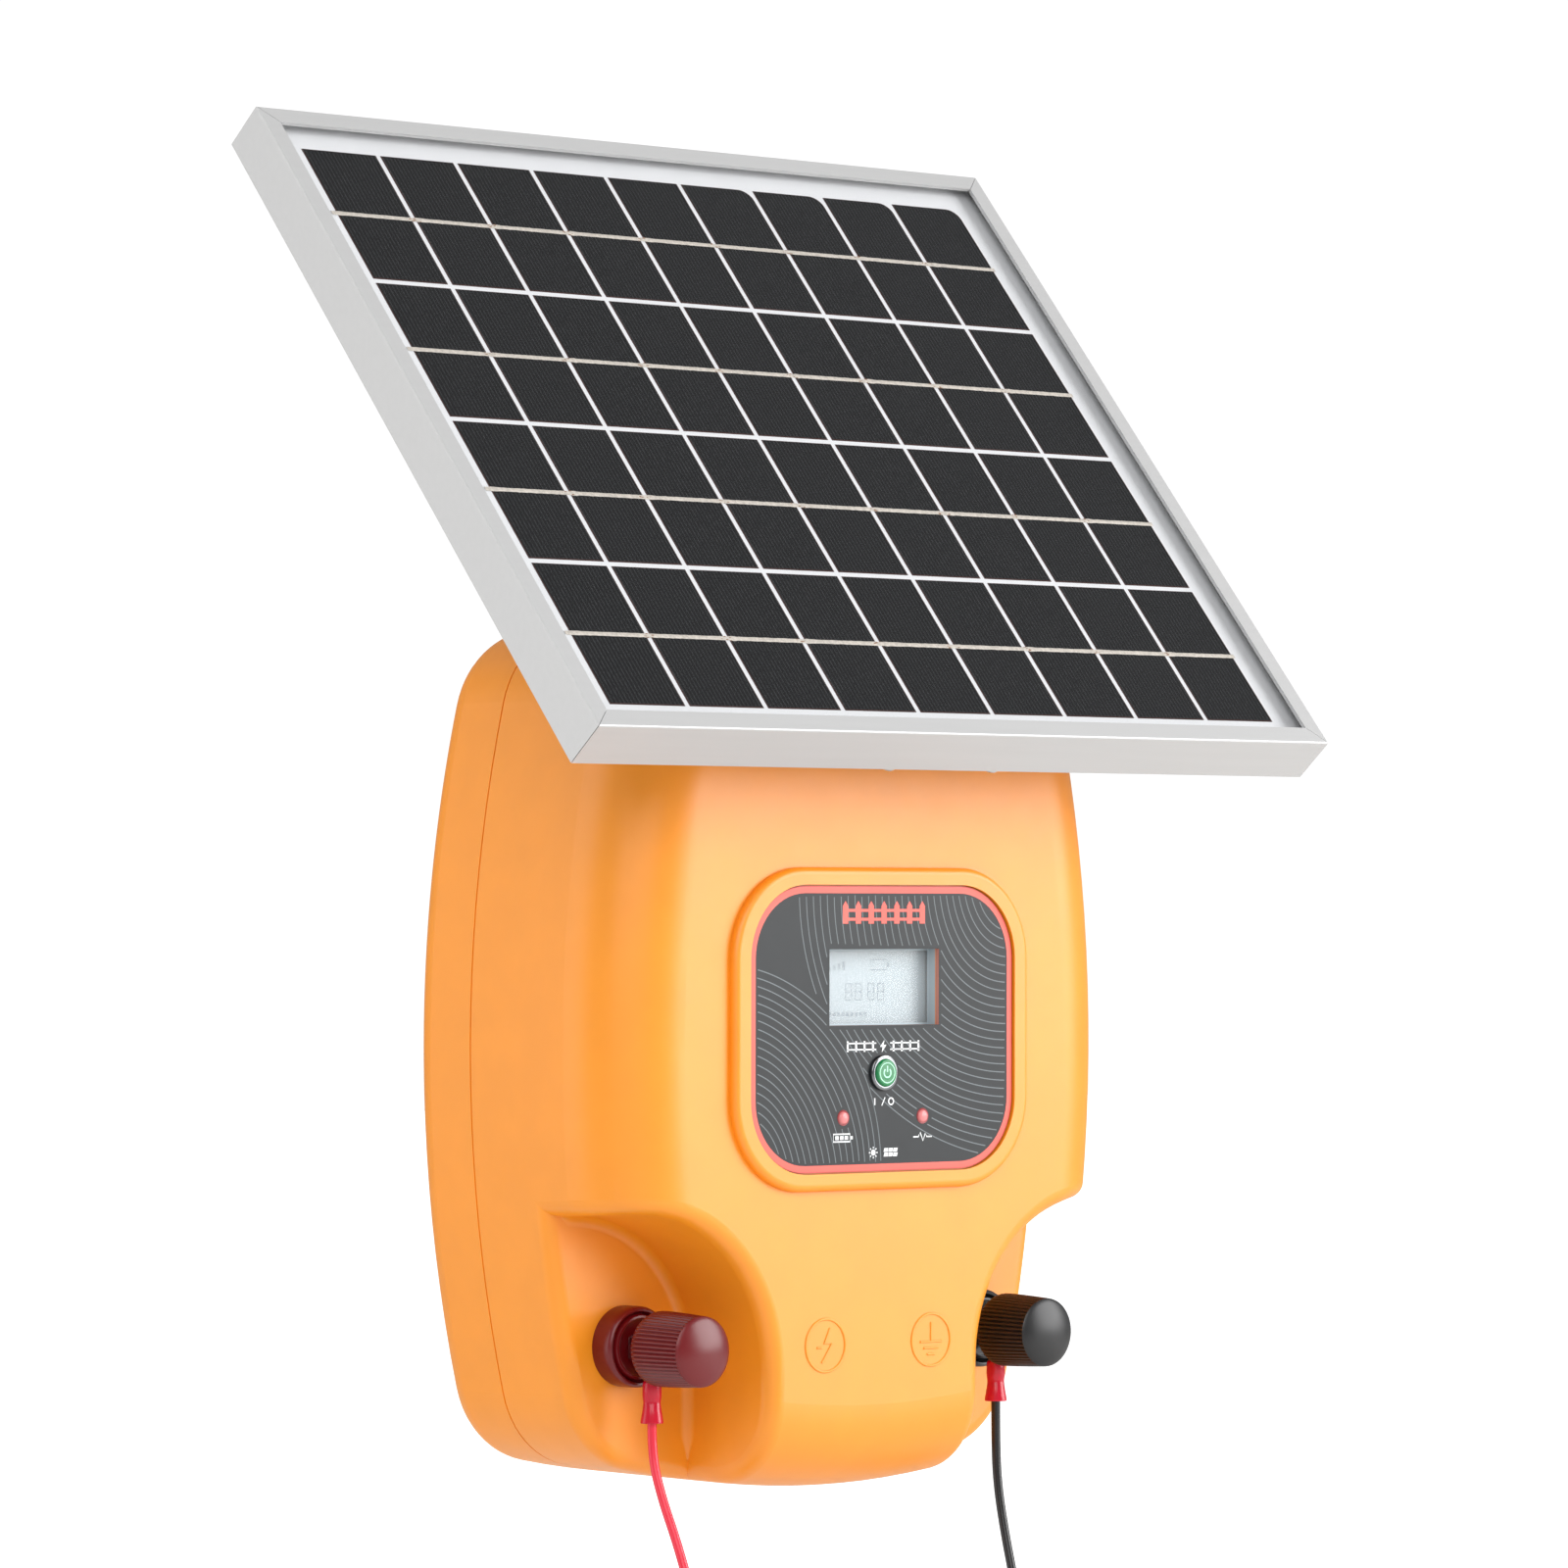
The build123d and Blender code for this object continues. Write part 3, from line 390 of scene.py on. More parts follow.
class Print:
    """Flat ink shapes on a plane that faces the front, in X and Z millimetres."""

    def __init__(self):
        self.verts, self.faces = [], []

    def polygon(self, points):
        base = len(self.verts)
        self.verts += [(x, z, 0) for x, z in points]
        self.faces.append(tuple(range(base, base + len(points))))

    def band(self, outer, inner):
        base, n = len(self.verts), len(outer)
        self.verts += [(x, z, 0) for x, z in outer] + [(x, z, 0) for x, z in inner]
        for i in range(n):
            j = (i + 1) % n
            self.faces.append((base + i, base + j, base + n + j, base + n + i))

    def line(self, points, width, closed=False):
        n = len(points)
        base = len(self.verts)
        for i, (x, z) in enumerate(points):
            before = points[i - 1] if closed or i else points[i]
            after = points[(i + 1) % n] if closed or i < n - 1 else points[i]
            dx, dz = after[0] - before[0], after[1] - before[1]
            size = math.hypot(dx, dz) or 1
            nx, nz = -dz / size * width / 2, dx / size * width / 2
            self.verts += [(x + nx, z + nz, 0), (x - nx, z - nz, 0)]
        for i in range(n if closed else n - 1):
            a, b = base + 2 * i, base + 2 * ((i + 1) % n)
            self.faces.append((a, a + 1, b + 1, b))

    def disc(self, x, z, radius, steps=24):
        self.polygon(circle(x, z, radius, steps))

    def ring(self, x, z, radius, width, steps=48):
        self.band(circle(x, z, radius + width / 2, steps), circle(x, z, radius - width / 2, steps))

    def make(self, name, y, material, slot, body="housing"):
        verts = placed(self.verts, toward_front(0, y, 0))
        data = bpy.data.meshes.new(name)
        data.from_pydata([tuple(v) for v in verts], [], self.faces)
        bm = bmesh.new()
        bm.from_mesh(data)
        for face in bm.faces:
            face.normal_update()
            if face.normal.y > 0:
                face.normal_flip()
        bmesh.ops.triangulate(bm, faces=[f for f in bm.faces if len(f.verts) > 4])
        bm.to_mesh(data)
        bm.free()
        return finish_piece(add(name, data), material, body, slot)


def ink(name, colour, roughness=0.38):
    return moulded(name, colour, *shades(colour, 0.03), rough=(roughness, roughness + 0.06),
                   grain_scale=3500, strength=0.05)


SALMON = ink("ink_salmon", srgb(232, 92, 78))
WHITE_INK = ink("ink_white", srgb(238, 240, 242))
GREY_INK = ink("ink_grey", srgb(98, 106, 110))
LABEL_Y = -139.0
LABEL_W, LABEL_H, LABEL_R = 112.4, 90.2, 23.0
SCREEN = (0.6, 13.1, 47.0, 24.2)
BUTTON_Z, LAMP_X, LAMP_Z = -14, 17, -28
CONTOUR_WIDTH = 0.34


def inside_label(x, z, inset):
    ax, az = abs(x) - (LABEL_W / 2 - LABEL_R), abs(z) - (LABEL_H / 2 - LABEL_R)
    distance = math.hypot(max(ax, 0), max(az, 0)) + min(max(ax, az), 0) - LABEL_R
    return distance < -inset


def off_print(x, z):
    """True where the contour lines may run: off the window, lamps and button."""
    sx, sz, width, height = SCREEN
    clear = abs(x - sx) > width / 2 + 0.9 or abs(z - sz) > height / 2 + 0.9
    clear = clear and math.hypot(x, z - BUTTON_Z) > 6.4
    for lamp in (-LAMP_X, LAMP_X):
        clear = clear and math.hypot(x - lamp, z - LAMP_Z) > 3.2
    return clear


def make_label_art():
    border = Print()
    border.band(rounded_outline(LABEL_W - 0.5, LABEL_H - 0.5, LABEL_R - 0.25),
                rounded_outline(LABEL_W - 4.6, LABEL_H - 4.6, LABEL_R - 2.3))
    border.make("label_border", LABEL_Y - 0.03, SALMON, "label_print")
    rim = Print()
    rim.band(rounded_outline(LABEL_W, LABEL_H, LABEL_R),
             rounded_outline(LABEL_W - 0.7, LABEL_H - 0.7, LABEL_R - 0.35))
    rim.make("label_rim", LABEL_Y - 0.02, ink("ink_rim", srgb(196, 60, 42)), "label_print")

    lines = Print()

    def lower_left(x, z):
        return math.hypot((x + 61) / 60, (z + 49) / 69)

    def draw(points, width):
        run = []
        for point in points + [None]:
            if point and inside_label(*point, 2.9) and off_print(*point):
                run.append(point)
            else:
                if len(run) > 2:
                    lines.line(run, width)
                run = []

    for k in range(32):
        radius = 5.0 + 2.75 * k
        arc = []
        for i in range(181):
            a = math.radians(170 + 110 * i / 180)
            wave = 1 + 0.02 * math.sin(3 * a + 0.13 * k)
            point = (56 + radius * wave * math.cos(a), 47 + radius * wave * math.sin(a))
            arc.append(point if lower_left(*point) > 1.02 else (999, 999))
        draw(arc, CONTOUR_WIDTH)
    for k in range(25):
        scale = 1 - 0.04 * k
        if scale <= 0.08:
            break
        arc = []
        for i in range(181):
            a = math.radians(-10 + 110 * i / 180)
            wave = 1 + 0.015 * math.sin(4 * a + 0.2 * k)
            arc.append((-61 + 60 * scale * wave * math.cos(a), -49 + 69 * scale * wave * math.sin(a)))
        draw(arc, CONTOUR_WIDTH)
    lines.make("label_contours", LABEL_Y - 0.02, GREY_INK, "label_film")

    fence = Print()
    for i in range(7):
        x = -16.2 + 5.5 * i
        fence.polygon([(x - 1.15, 33.2), (x + 1.15, 33.2), (x + 1.15, 38.8), (x, 40.4), (x - 1.15, 38.8)])
    for z in (34.6, 37.4):
        for i in range(6):
            x = -16.2 + 5.5 * i + 1.15
            fence.polygon([(x, z - 0.45), (x + 3.2, z - 0.45), (x + 3.2, z + 0.45), (x, z + 0.45)])
    fence.make("label_fence_icon", LABEL_Y - 0.04, SALMON, "label_print")

    icons = Print()
    bolt = [(0.5, 1.9), (-1.3, -0.2), (-0.2, -0.2), (-0.6, -1.9), (1.3, 0.4), (0.15, 0.4)]
    icons.polygon([(x * 1.05, z * 1.05 - 5.6) for x, z in bolt])
    for side in (-1, 1):
        for z in (-4.6, -6.6):
            icons.line([(side * 3.0, z), (side * 15.5, z)], 0.42)
        for i in range(4):
            icons.line([(side * (4.4 + 3.6 * i), -3.9), (side * (4.4 + 3.6 * i), -7.3)], 0.75)
    icons.line([(-3.6, -22.0), (-3.6, -24.2)], 0.5)
    icons.ring(3.4, -23.1, 1.05, 0.45, 24)
    icons.line([(-0.6, -24.4), (0.8, -21.8)], 0.35)
    icons.line([(-21.2, -33.1), (-21.2, -35.5), (-14.2, -35.5), (-14.2, -33.1)], 0.45, closed=True)
    icons.polygon([(-13.9, -33.8), (-13.0, -33.8), (-13.0, -34.8), (-13.9, -34.8)])
    for i in range(3):
        icons.polygon([(-20.4 + 2.0 * i, -33.7), (-19.0 + 2.0 * i, -33.7), (-19.0 + 2.0 * i, -34.9),
                       (-20.4 + 2.0 * i, -34.9)])
    icons.line([(13.0, -34.6), (15.2, -34.6), (16.0, -33.2), (17.2, -35.9), (18.2, -33.6), (18.8, -34.6),
                (21.0, -34.6)], 0.42)
    icons.disc(-4.2, -39.2, 0.95)
    for i in range(8):
        a = math.pi * i / 4
        icons.line([(-4.2 + r * math.cos(a), -39.2 + r * math.sin(a)) for r in (1.3, 1.85)], 0.38)
    for i in range(3):
        for j in range(2):
            x, z = 0.2 + 2.0 * i, -39.1 - 1.45 * j
            icons.polygon([(x, z), (x + 1.7, z), (x + 1.7 + 0.35, z + 1.2), (x + 0.35, z + 1.2)])
    icons.make("label_icons", LABEL_Y - 0.04, WHITE_INK, "label_print")


make_label_art()


# ------------------------------------------------------------------ screen, button, lamps

def make_screen():
    x, z, width, height = SCREEN
    rows = [(-138.95, 0.0), (-137.5, 0.0), (-137.3, 0.05), (-134.1, 0.05), (-134.05, 0.6)]
    for name, parts, material in (
            ("screen_edge", rows[:2], ink("ink_edge", srgb(196, 128, 112))),
            ("screen_liner", rows[2:], ink("liner_grey", srgb(172, 184, 190)))):
        verts, faces = [], []
        for y, inset in parts:
            outline = [(x + sx * (width / 2 - 0.02 - inset), z + sz * (height / 2 - 0.02 - inset))
                       for sx, sz in ((-1, -1), (1, -1), (1, 1), (-1, 1))]
            verts += [(px * MM, y * MM, pz * MM) for px, pz in outline]
        for k in range(len(parts) - 1):
            for i in range(4):
                a, b = 4 * k + i, 4 * k + (i + 1) % 4
                faces.append((a, b, b + 4, a + 4))
        finish_piece(mesh_piece(name, verts, faces, False), material, "housing", "label_film")

    marks = Print()
    left, top = x - 18.5, z + 8.0
    for i in range(4):
        marks.polygon([(left + 2.0 * i, top - 2.6), (left + 2.0 * i + 1.2, top - 2.6),
                       (left + 2.0 * i + 1.2, top - 1.6 + 0.6 * i), (left + 2.0 * i, top - 1.6 + 0.6 * i)])
    marks.line([(0.5, top + 0.6), (0.5, top - 2.6), (7.0, top - 2.6), (7.0, top + 0.6)], 0.4, closed=True)
    marks.polygon([(7.3, top - 0.3), (8.1, top - 0.3), (8.1, top - 1.7), (7.3, top - 1.7)])
    segments = ((0, 2, 1, 2), (0, 1, 1, 1), (0, 0, 1, 0), (0, 1, 0, 2), (1, 1, 1, 2), (0, 0, 0, 1),
                (1, 0, 1, 1))
    for place in (-10.5, -6.3, -0.9, 3.3):
        for ax, az, bx, bz in segments:
            marks.line([(place + 2.6 * ax, -1.5 + z + 2.6 * az - 2.6),
                        (place + 2.6 * bx, -1.5 + z + 2.6 * bz - 2.6)], 0.42)
    for i in range(9):
        bar = left + 1.9 * i
        marks.polygon([(bar, z - 9.2), (bar + 1.3, z - 9.2), (bar + 1.3, z - 8.0), (bar, z - 8.0)])
    marks.make("screen_marks", -132.75, ink("liquid_crystal", srgb(146, 160, 168), 0.3), "lcd_panel")


def make_button():
    profile = [(5.72, 0), (5.74, 0.55), (5.6, 0.95), (5.3, 1.2), (4.95, 1.26), (4.66, 1.1), (4.52, 0.7),
               (4.5, -1.2)]
    verts, faces = lathe(profile, 72)
    ring = mesh_piece("button_ring", placed(verts, toward_front(0, LABEL_Y, BUTTON_Z)), faces)
    finish_piece(ring, M["dark_chrome"], "housing", "dark_chrome")
    profile = [(4.42, -1.0), (4.4, 0.8), (4.25, 1.5), (3.9, 1.95), (3.4, 2.12), (2.2, 2.2), (0, 2.22)]
    verts, faces = lathe(profile, 64)
    cap = mesh_piece("button_cap", placed(verts, toward_front(0, -138.8, BUTTON_Z)), faces)
    finish_piece(cap, M["green_button"], "power_button", "green_button")
    glow = ink("glyph_mint", srgb(176, 246, 206), 0.2)
    halo = Print()
    halo.ring(0, BUTTON_Z, 3.15, 0.30)
    angles = [math.radians(a) for a in range(130, 411, 10)]
    arc = [(1.45 * math.cos(a), BUTTON_Z + 1.45 * math.sin(a)) for a in angles]
    halo.line(arc, 0.5)
    halo.line([(0, -13.7), (0, -11.8)], 0.5)
    halo.make("button_glyph", -141.06, glow, "green_button", "power_button")


def make_lamps():
    for name, x in (("power_lamp", -LAMP_X), ("run_lamp", LAMP_X)):
        profile = [(2.05, -0.5), (2.05, 0.1), (1.95, 0.45), (1.6, 0.75), (1.0, 0.95), (0, 1.02)]
        verts, faces = lathe(profile, 40)
        lamp = mesh_piece(name, placed(verts, toward_front(x, LABEL_Y + 0.1, LAMP_Z)), faces)
        finish_piece(lamp, M["led_red"], "housing", "led_red")
        verts, faces = lathe([(2.02, -0.2), (2.12, 0.14), (2.4, 0.18), (2.5, 0.0)], 40)
        rim = mesh_piece(name + "_rim", placed(verts, toward_front(x, LABEL_Y, LAMP_Z)), faces)
        finish_piece(rim, ink(name + "_rim_red", srgb(150, 40, 44), 0.3), "housing", "led_red")


make_screen()
make_button()
make_lamps()


# ------------------------------------------------------------------ housing details

def raised_line(name, points, radius, closed=False):
    """A half-sunk rounded line on the housing's front, in X and Z millimetres."""
    curve = bpy.data.curves.new(name, "CURVE")
    curve.dimensions = "3D"
    spline = curve.splines.new("POLY")
    spline.points.add(len(points) - 1)
    for point, (x, z) in zip(spline.points, points):
        point.co = (x * MM, -137.0 * MM, z * MM, 1)
    spline.use_cyclic_u = closed
    curve.bevel_depth = radius * MM
    curve.bevel_resolution = 4
    curve.use_fill_caps = True
    curve.materials.append(M["orange_plastic"])
    obj = add(name, curve)
    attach(obj, "housing")
    return obj


def make_symbols():
    reach, z = 22.6, -99.5
    for side, name in ((-1, "lightning"), (1, "earth")):
        raised_line(name + "_ring", circle(reach * side, z, 8.3, 64), 0.42, True)
    x = -reach
    bolt = [(1.8, 5.4), (-0.6, 0.6), (2.6, 0.6), (-1.6, -5.4)]
    raised_line("lightning_stroke", [(x + a, z + b) for a, b in bolt], 0.38)
    raised_line("lightning_tick", [(x - 3.6, z - 0.6), (x - 1.6, z - 0.6)], 0.36)
    x = reach
    for k, (half, height) in enumerate(((4.6, -0.6), (3.1, -2.6), (1.6, -4.6))):
        raised_line(f"earth_bar_{k}", [(x - half, z + height), (x + half, z + height)], 0.38)
    raised_line("earth_stem", [(x, z + 5.6), (x, z - 0.6)], 0.38)


def make_recess_fillets():
    """A concave fillet where each recess's drafted wall meets its floor, fading out at both ends."""
    draft, floor_y, radius, cx, cz = math.radians(3), -99.0, 49.0, -96.0, -107.0
    for side, name in ((-1, "left"), (1, "right")):
        path = []
        for i in range(24):
            z = -136.5 + (cz + 136.5) * i / 24
            path.append((cx + radius, z, (-1.0, 0.0), 3.6 * min(1, max(0.12, (z + 137.5) / 9))))
        for i in range(49):
            a = math.radians(90 * i / 48)
            nx, nz = -math.cos(a), -math.sin(a)
            path.append((cx - radius * nx, cz - radius * nz, (nx, nz), 3.6))
        path += [(-98.0, cz + radius, (0.0, -1.0), 2.0), (-99.5, cz + radius, (0.0, -1.0), 0.3)]
        verts, faces = [], []
        for x, z, (nx, nz), r in path:
            reach = r * math.tan((math.pi / 2 - draft) / 2)
            for k in range(11):
                phi = (math.pi / 2 - draft) * k / 10
                inward = reach - r * math.sin(phi)
                y = floor_y - r + r * math.cos(phi) - 0.01
                verts.append((-side * (x + nx * inward) * MM, y * MM, (z + nz * inward) * MM))
        for i in range(len(path) - 1):
            for k in range(10):
                a = i * 11 + k
                faces.append((a, a + 1, a + 12, a + 11))
        obj = mesh_piece(name + "_recess_fillet", verts, faces)
        finish_piece(obj, M["orange_plastic"], "housing", "orange_plastic")


make_symbols()
make_recess_fillets()


# ------------------------------------------------------------------ terminals

def make_terminals():
    for colour, side, slot in (("red", -1, "dark_red_plastic"), ("black", 1, "black_plastic")):
        x, z = side * 73.8, -99.3
        ribs = 52

        def ripple(angle, radius, height, ribs=ribs):
            fade_in, fade_out = (height - 1.2) / 0.5, (21.75 - height) / 0.25
            depth = 0.62 * min(1, max(0, fade_in)) * min(1, max(0, fade_out))
            return radius - depth * (0.5 - 0.5 * math.cos(ribs * angle)) ** 1.6

        profile = [(3.3, 2.0), (3.3, 0.4), (9.2, 0.3), (10.4, 0.0), (10.9, 0.4), (11.3, 1.1), (11.7, 1.8),
                   (11.82, 2.6), (11.85, 3.4), (11.75, 8.0), (11.5, 14.0), (11.15, 20.6), (11.1, 21.3),
                   (11.08, 21.6), (11.0, 21.9), (10.7, 22.2), (9.6, 22.75), (7.8, 23.35), (5.7, 23.85),
                   (3.5, 24.2), (1.6, 24.4), (0, 24.45)]
        verts, faces = lathe(profile, ribs * 10, ripple)
        knob = mesh_piece(colour + "_knob_grip", placed(verts, toward_front(x, -115.05, z)), faces)
        finish_piece(knob, M[slot], colour + "_knob", slot, (colour + "_knob",))
        profile = [(12.75, 0), (12.8, 5.2), (12.72, 7.2), (12.4, 8.1), (11.9, 8.5), (11.3, 8.4),
                   (11.0, 7.9), (10.9, 7.0), (10.6, 6.6), (10.3, 7.0), (10.2, 8.3), (9.9, 8.9),
                   (9.3, 9.0), (8.9, 8.8), (8.8, 7.6), (8.3, 7.3), (3.15, 7.3)]
        verts, faces = lathe(profile, 96)
        collar = mesh_piece(colour + "_collar_ring", placed(verts, toward_front(x, -99.0, z)), faces)
        finish_piece(collar, M[slot], "housing", slot, (colour + "_collar",))
        make_sleeve(colour, x)


def make_sleeve(colour, x):
    """A crimped vinyl sleeve: a square-shouldered top, a pinched waist, and a flared open mouth."""
    profile = [(1.6, 13.2), (2.6, 13.3), (3.0, 12.9), (3.05, 10.4), (3.0, 8.8), (2.6, 7.4), (2.45, 6.6),
               (2.6, 5.8), (2.95, 3.6), (3.25, 1.2), (3.35, 0.15), (3.25, 0.0), (3.05, 0.1), (2.7, 1.6),
               (1.6, 3.6)]
    verts, faces = lathe(profile, 48)
    shaped = []
    for vx, vy, vz in verts:
        pinch = math.exp(-((vz - 6.9) / 1.7) ** 2)
        wide = math.exp(-((vz - 0.8) / 3.0) ** 2)
        shaped.append((vx * (1 + 0.12 * pinch + 0.10 * wide), vy * (1 - 0.12 * pinch - 0.06 * wide), vz))
    turn = Matrix.Rotation(math.radians(-35), 4, "Z")
    matrix = Matrix.Translation((x * MM, -0.1130, -0.1228)) @ turn
    obj = mesh_piece(colour + "_sleeve", placed(shaped, matrix @ Matrix.Scale(MM, 4)), faces)
    obj.modifiers.new("soft", "SUBSURF").render_levels = 1
    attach(obj, "housing")
    obj.data.materials.append(M["red_vinyl"])


make_terminals()
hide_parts("lead_sleeves")


# ------------------------------------------------------------------ solar panel

TILT = math.radians(49.65)
PANEL = Matrix.Translation((0, -0.1844, 0.0923)) @ Matrix.Rotation(TILT, 4, "X") @ Matrix.Scale(MM, 4)
CELL_W, CELL_H = 29.8111, 57.3250
PITCH_X, PITCH_Y = 31.7111, 59.2250
FIRST_X, FIRST_Y = -141.7, 13.0


def cell_material():
    """Dark silicon with fine printed fingers running up the slope, broken up by the etch."""
    mat = M["silicon_cell"]
    bsdf = mat.node_tree.nodes["Principled BSDF"]
    moved = Matrix.Rotation(-TILT, 3, "X") @ Vector((0, -184.4, 92.3))
    mapping = place_coords(mat, (1000, 1000, 1000), tuple(-moved), (-TILT, 0, 0))
    split = node(mat, "ShaderNodeSeparateXYZ")
    link(mat, mapping, "Vector", split, "Vector")
    wave = node(mat, "ShaderNodeMath", operation="MULTIPLY")
    wave.inputs[1].default_value = 1 / 1.55
    link(mat, split, "X", wave, 0)
    fraction = node(mat, "ShaderNodeMath", operation="FRACT")
    link(mat, wave, "Value", fraction, 0)
    lines = node(mat, "ShaderNodeValToRGB")
    ramp = lines.color_ramp
    ramp.elements[0].position, ramp.elements[0].color = 0.30, (0, 0, 0, 1)
    ramp.elements[1].position, ramp.elements[1].color = 0.44, (1, 1, 1, 1)
    for position, value in ((0.56, 1), (0.70, 0)):
        ramp.elements.new(position).color = (value, value, value, 1)
    link(mat, fraction, "Value", lines, "Fac")
    etch = node(mat, "ShaderNodeTexNoise", in_Scale=1.3, in_Detail=3.0)
    link(mat, mapping, "Vector", etch, "Vector")
    strong = node(mat, "ShaderNodeValToRGB")
    worn, whole = strong.color_ramp.elements
    worn.position, worn.color = 0.36, (0.15, 0.15, 0.15, 1)
    whole.position, whole.color = 0.66, (1, 1, 1, 1)
    link(mat, etch, "Fac", strong, "Fac")
    both = node(mat, "ShaderNodeMath", operation="MULTIPLY")
    link(mat, lines, "Color", both, 0)
    link(mat, strong, "Color", both, 1)
    mix = node(mat, "ShaderNodeMix", data_type="RGBA")
    mix.inputs[6].default_value = (0.003, 0.003, 0.0035, 1)
    mix.inputs[7].default_value = (0.060, 0.060, 0.062, 1)
    mat.node_tree.links.new(both.outputs["Value"], mix.inputs[0])
    mat.node_tree.links.new(mix.outputs[2], bsdf.inputs["Base Color"])
    rough = node(mat, "ShaderNodeMapRange")
    rough.inputs["To Min"].default_value, rough.inputs["To Max"].default_value = 0.28, 0.42
    link(mat, etch, "Fac", rough, "Value")
    link(mat, rough, "Result", bsdf, "Roughness")


def make_cells():
    cell_material()
    edge = ink("cell_edge", srgb(58, 26, 18), 0.4)
    verts, faces, which = [], [], []
    for column in range(9):
        for row in range(4):
            x0, y0 = FIRST_X + column * PITCH_X, FIRST_Y + row * PITCH_Y
            outline = [(x0, y0), (x0 + CELL_W, y0)]
            if row == 3 and column >= 5:
                cut = 4.6
                for i in range(7):
                    a = math.radians(90 * i / 6)
                    outline.append((x0 + CELL_W - cut + cut * math.cos(a),
                                    y0 + CELL_H - cut + cut * math.sin(a)))
            else:
                outline.append((x0 + CELL_W, y0 + CELL_H))
            outline.append((x0, y0 + CELL_H))
            n, base = len(outline), len(verts)
            mx, my = x0 + CELL_W / 2, y0 + CELL_H / 2
            inset = [(px + (0.45 if px < mx else -0.30), py + (0.45 if py < my else -0.20))
                     for px, py in outline]
            for ring, height in ((outline, -4.69), (outline, -4.56), (inset, -4.56)):
                verts += [(px, py, height) for px, py in ring]
            for i in range(n):
                j = (i + 1) % n
                faces.append((base + i, base + j, base + n + j, base + n + i))
                faces.append((base + n + i, base + n + j, base + 2 * n + j, base + 2 * n + i))
                which += [1, 1]
            faces.append(tuple(base + 2 * n + i for i in range(n)))
            which.append(0)
    obj = mesh_piece("cell_faces", placed(verts, PANEL), faces, False)
    finish_piece(obj, M["silicon_cell"], "panel", "silicon_cell", ("solar_cells",))
    obj.data.materials.append(edge)
    for polygon, index in zip(obj.data.polygons, which):
        polygon.material_index = index

    ribbon = metal("ribbon_tin", srgb(222, 214, 204), (0.35, 0.6), scale=3000, strength=0.5, by=0.12)
    ribbon.node_tree.nodes["Principled BSDF"].inputs["Metallic"].default_value = 0.35
    verts, faces = [], []
    for row in range(4):
        y = FIRST_Y + row * PITCH_Y + CELL_H / 2
        steps = 9 * 24
        start, end = FIRST_X - 2.2, FIRST_X + 8 * PITCH_X + CELL_W + 1.0
        base = len(verts)
        for i in range(steps + 1):
            x = start + (end - start) * i / steps
            near = (x - FIRST_X) % PITCH_X
            lump = 0.25 * math.exp(-((near - 1.5) / 1.6) ** 2) * random.uniform(0.2, 1.0)
            half = 0.82 + lump + random.uniform(-0.07, 0.07)
            for k, height in ((-1, 0.0), (-0.6, 0.07), (0.6, 0.07 + 0.02 * random.random()), (1, 0.0)):
                verts.append((x, y + k * half, -4.53 + height))
        for i in range(steps):
            for k in range(3):
                a = base + 4 * i + k
                faces.append((a, a + 4, a + 5, a + 1))
    finish_piece(mesh_piece("cell_ribbons", placed(verts, PANEL), faces), ribbon, "panel", "silicon_cell")
    verts, faces = [], []
    for column in range(1, 9):
        for row in range(4):
            x = FIRST_X + column * PITCH_X - 0.95
            y = FIRST_Y + row * PITCH_Y + CELL_H / 2
            for _ in range(5):
                px, py = x + random.uniform(-2.4, 2.4), y + random.uniform(-0.9, 0.9)
                r = random.uniform(0.15, 0.38)
                base = len(verts)
                for i in range(6):
                    a = math.pi * i / 3
                    verts.append((px + 1.8 * r * math.cos(a), py + 0.6 * r * math.sin(a), -4.435))
                faces.append(tuple(base + i for i in range(6)))
    flux = ink("flux_brown", srgb(150, 104, 70), 0.4)
    marks = mesh_piece("solder_marks", placed(verts, PANEL), faces, False)
    finish_piece(marks, flux, "panel", "silicon_cell")


make_cells()


# ------------------------------------------------------------------ screws and box lid

def screw_heads(name, places, radius, height, body, slot="zinc_screws"):
    """Domed heads with a cross recess. places are matrices, mm in, with local Z out of the head."""
    verts, faces = [], []
    rings, segments = 18, 72
    for matrix in places:
        base = len(verts)
        local = []
        for k in range(rings + 1):
            share = k / rings
            for i in range(segments):
                a = 2 * math.pi * i / segments
                x, y = radius * share * math.cos(a), radius * share * math.sin(a)
                z = height * math.sqrt(max(0.0, 1 - share ** 2.6 * 0.98))
                near, far = sorted((abs(x), abs(y)))
                if near < 0.13 * radius and far < 0.56 * radius:
                    z = height * 0.45
                local.append((x, y, z))
        for i in range(segments):
            a = 2 * math.pi * i / segments
            local.append((radius * math.cos(a), radius * math.sin(a), -0.05))
        verts += placed(local, matrix)
        for k in range(rings + 1):
            for i in range(segments):
                j = (i + 1) % segments
                a, b = base + k * segments, base + (k + 1) * segments
                faces.append((a + i, a + j, b + j, b + i))
    obj = mesh_piece(name, verts, faces)
    return finish_piece(obj, M["zinc_screws"], body, slot)


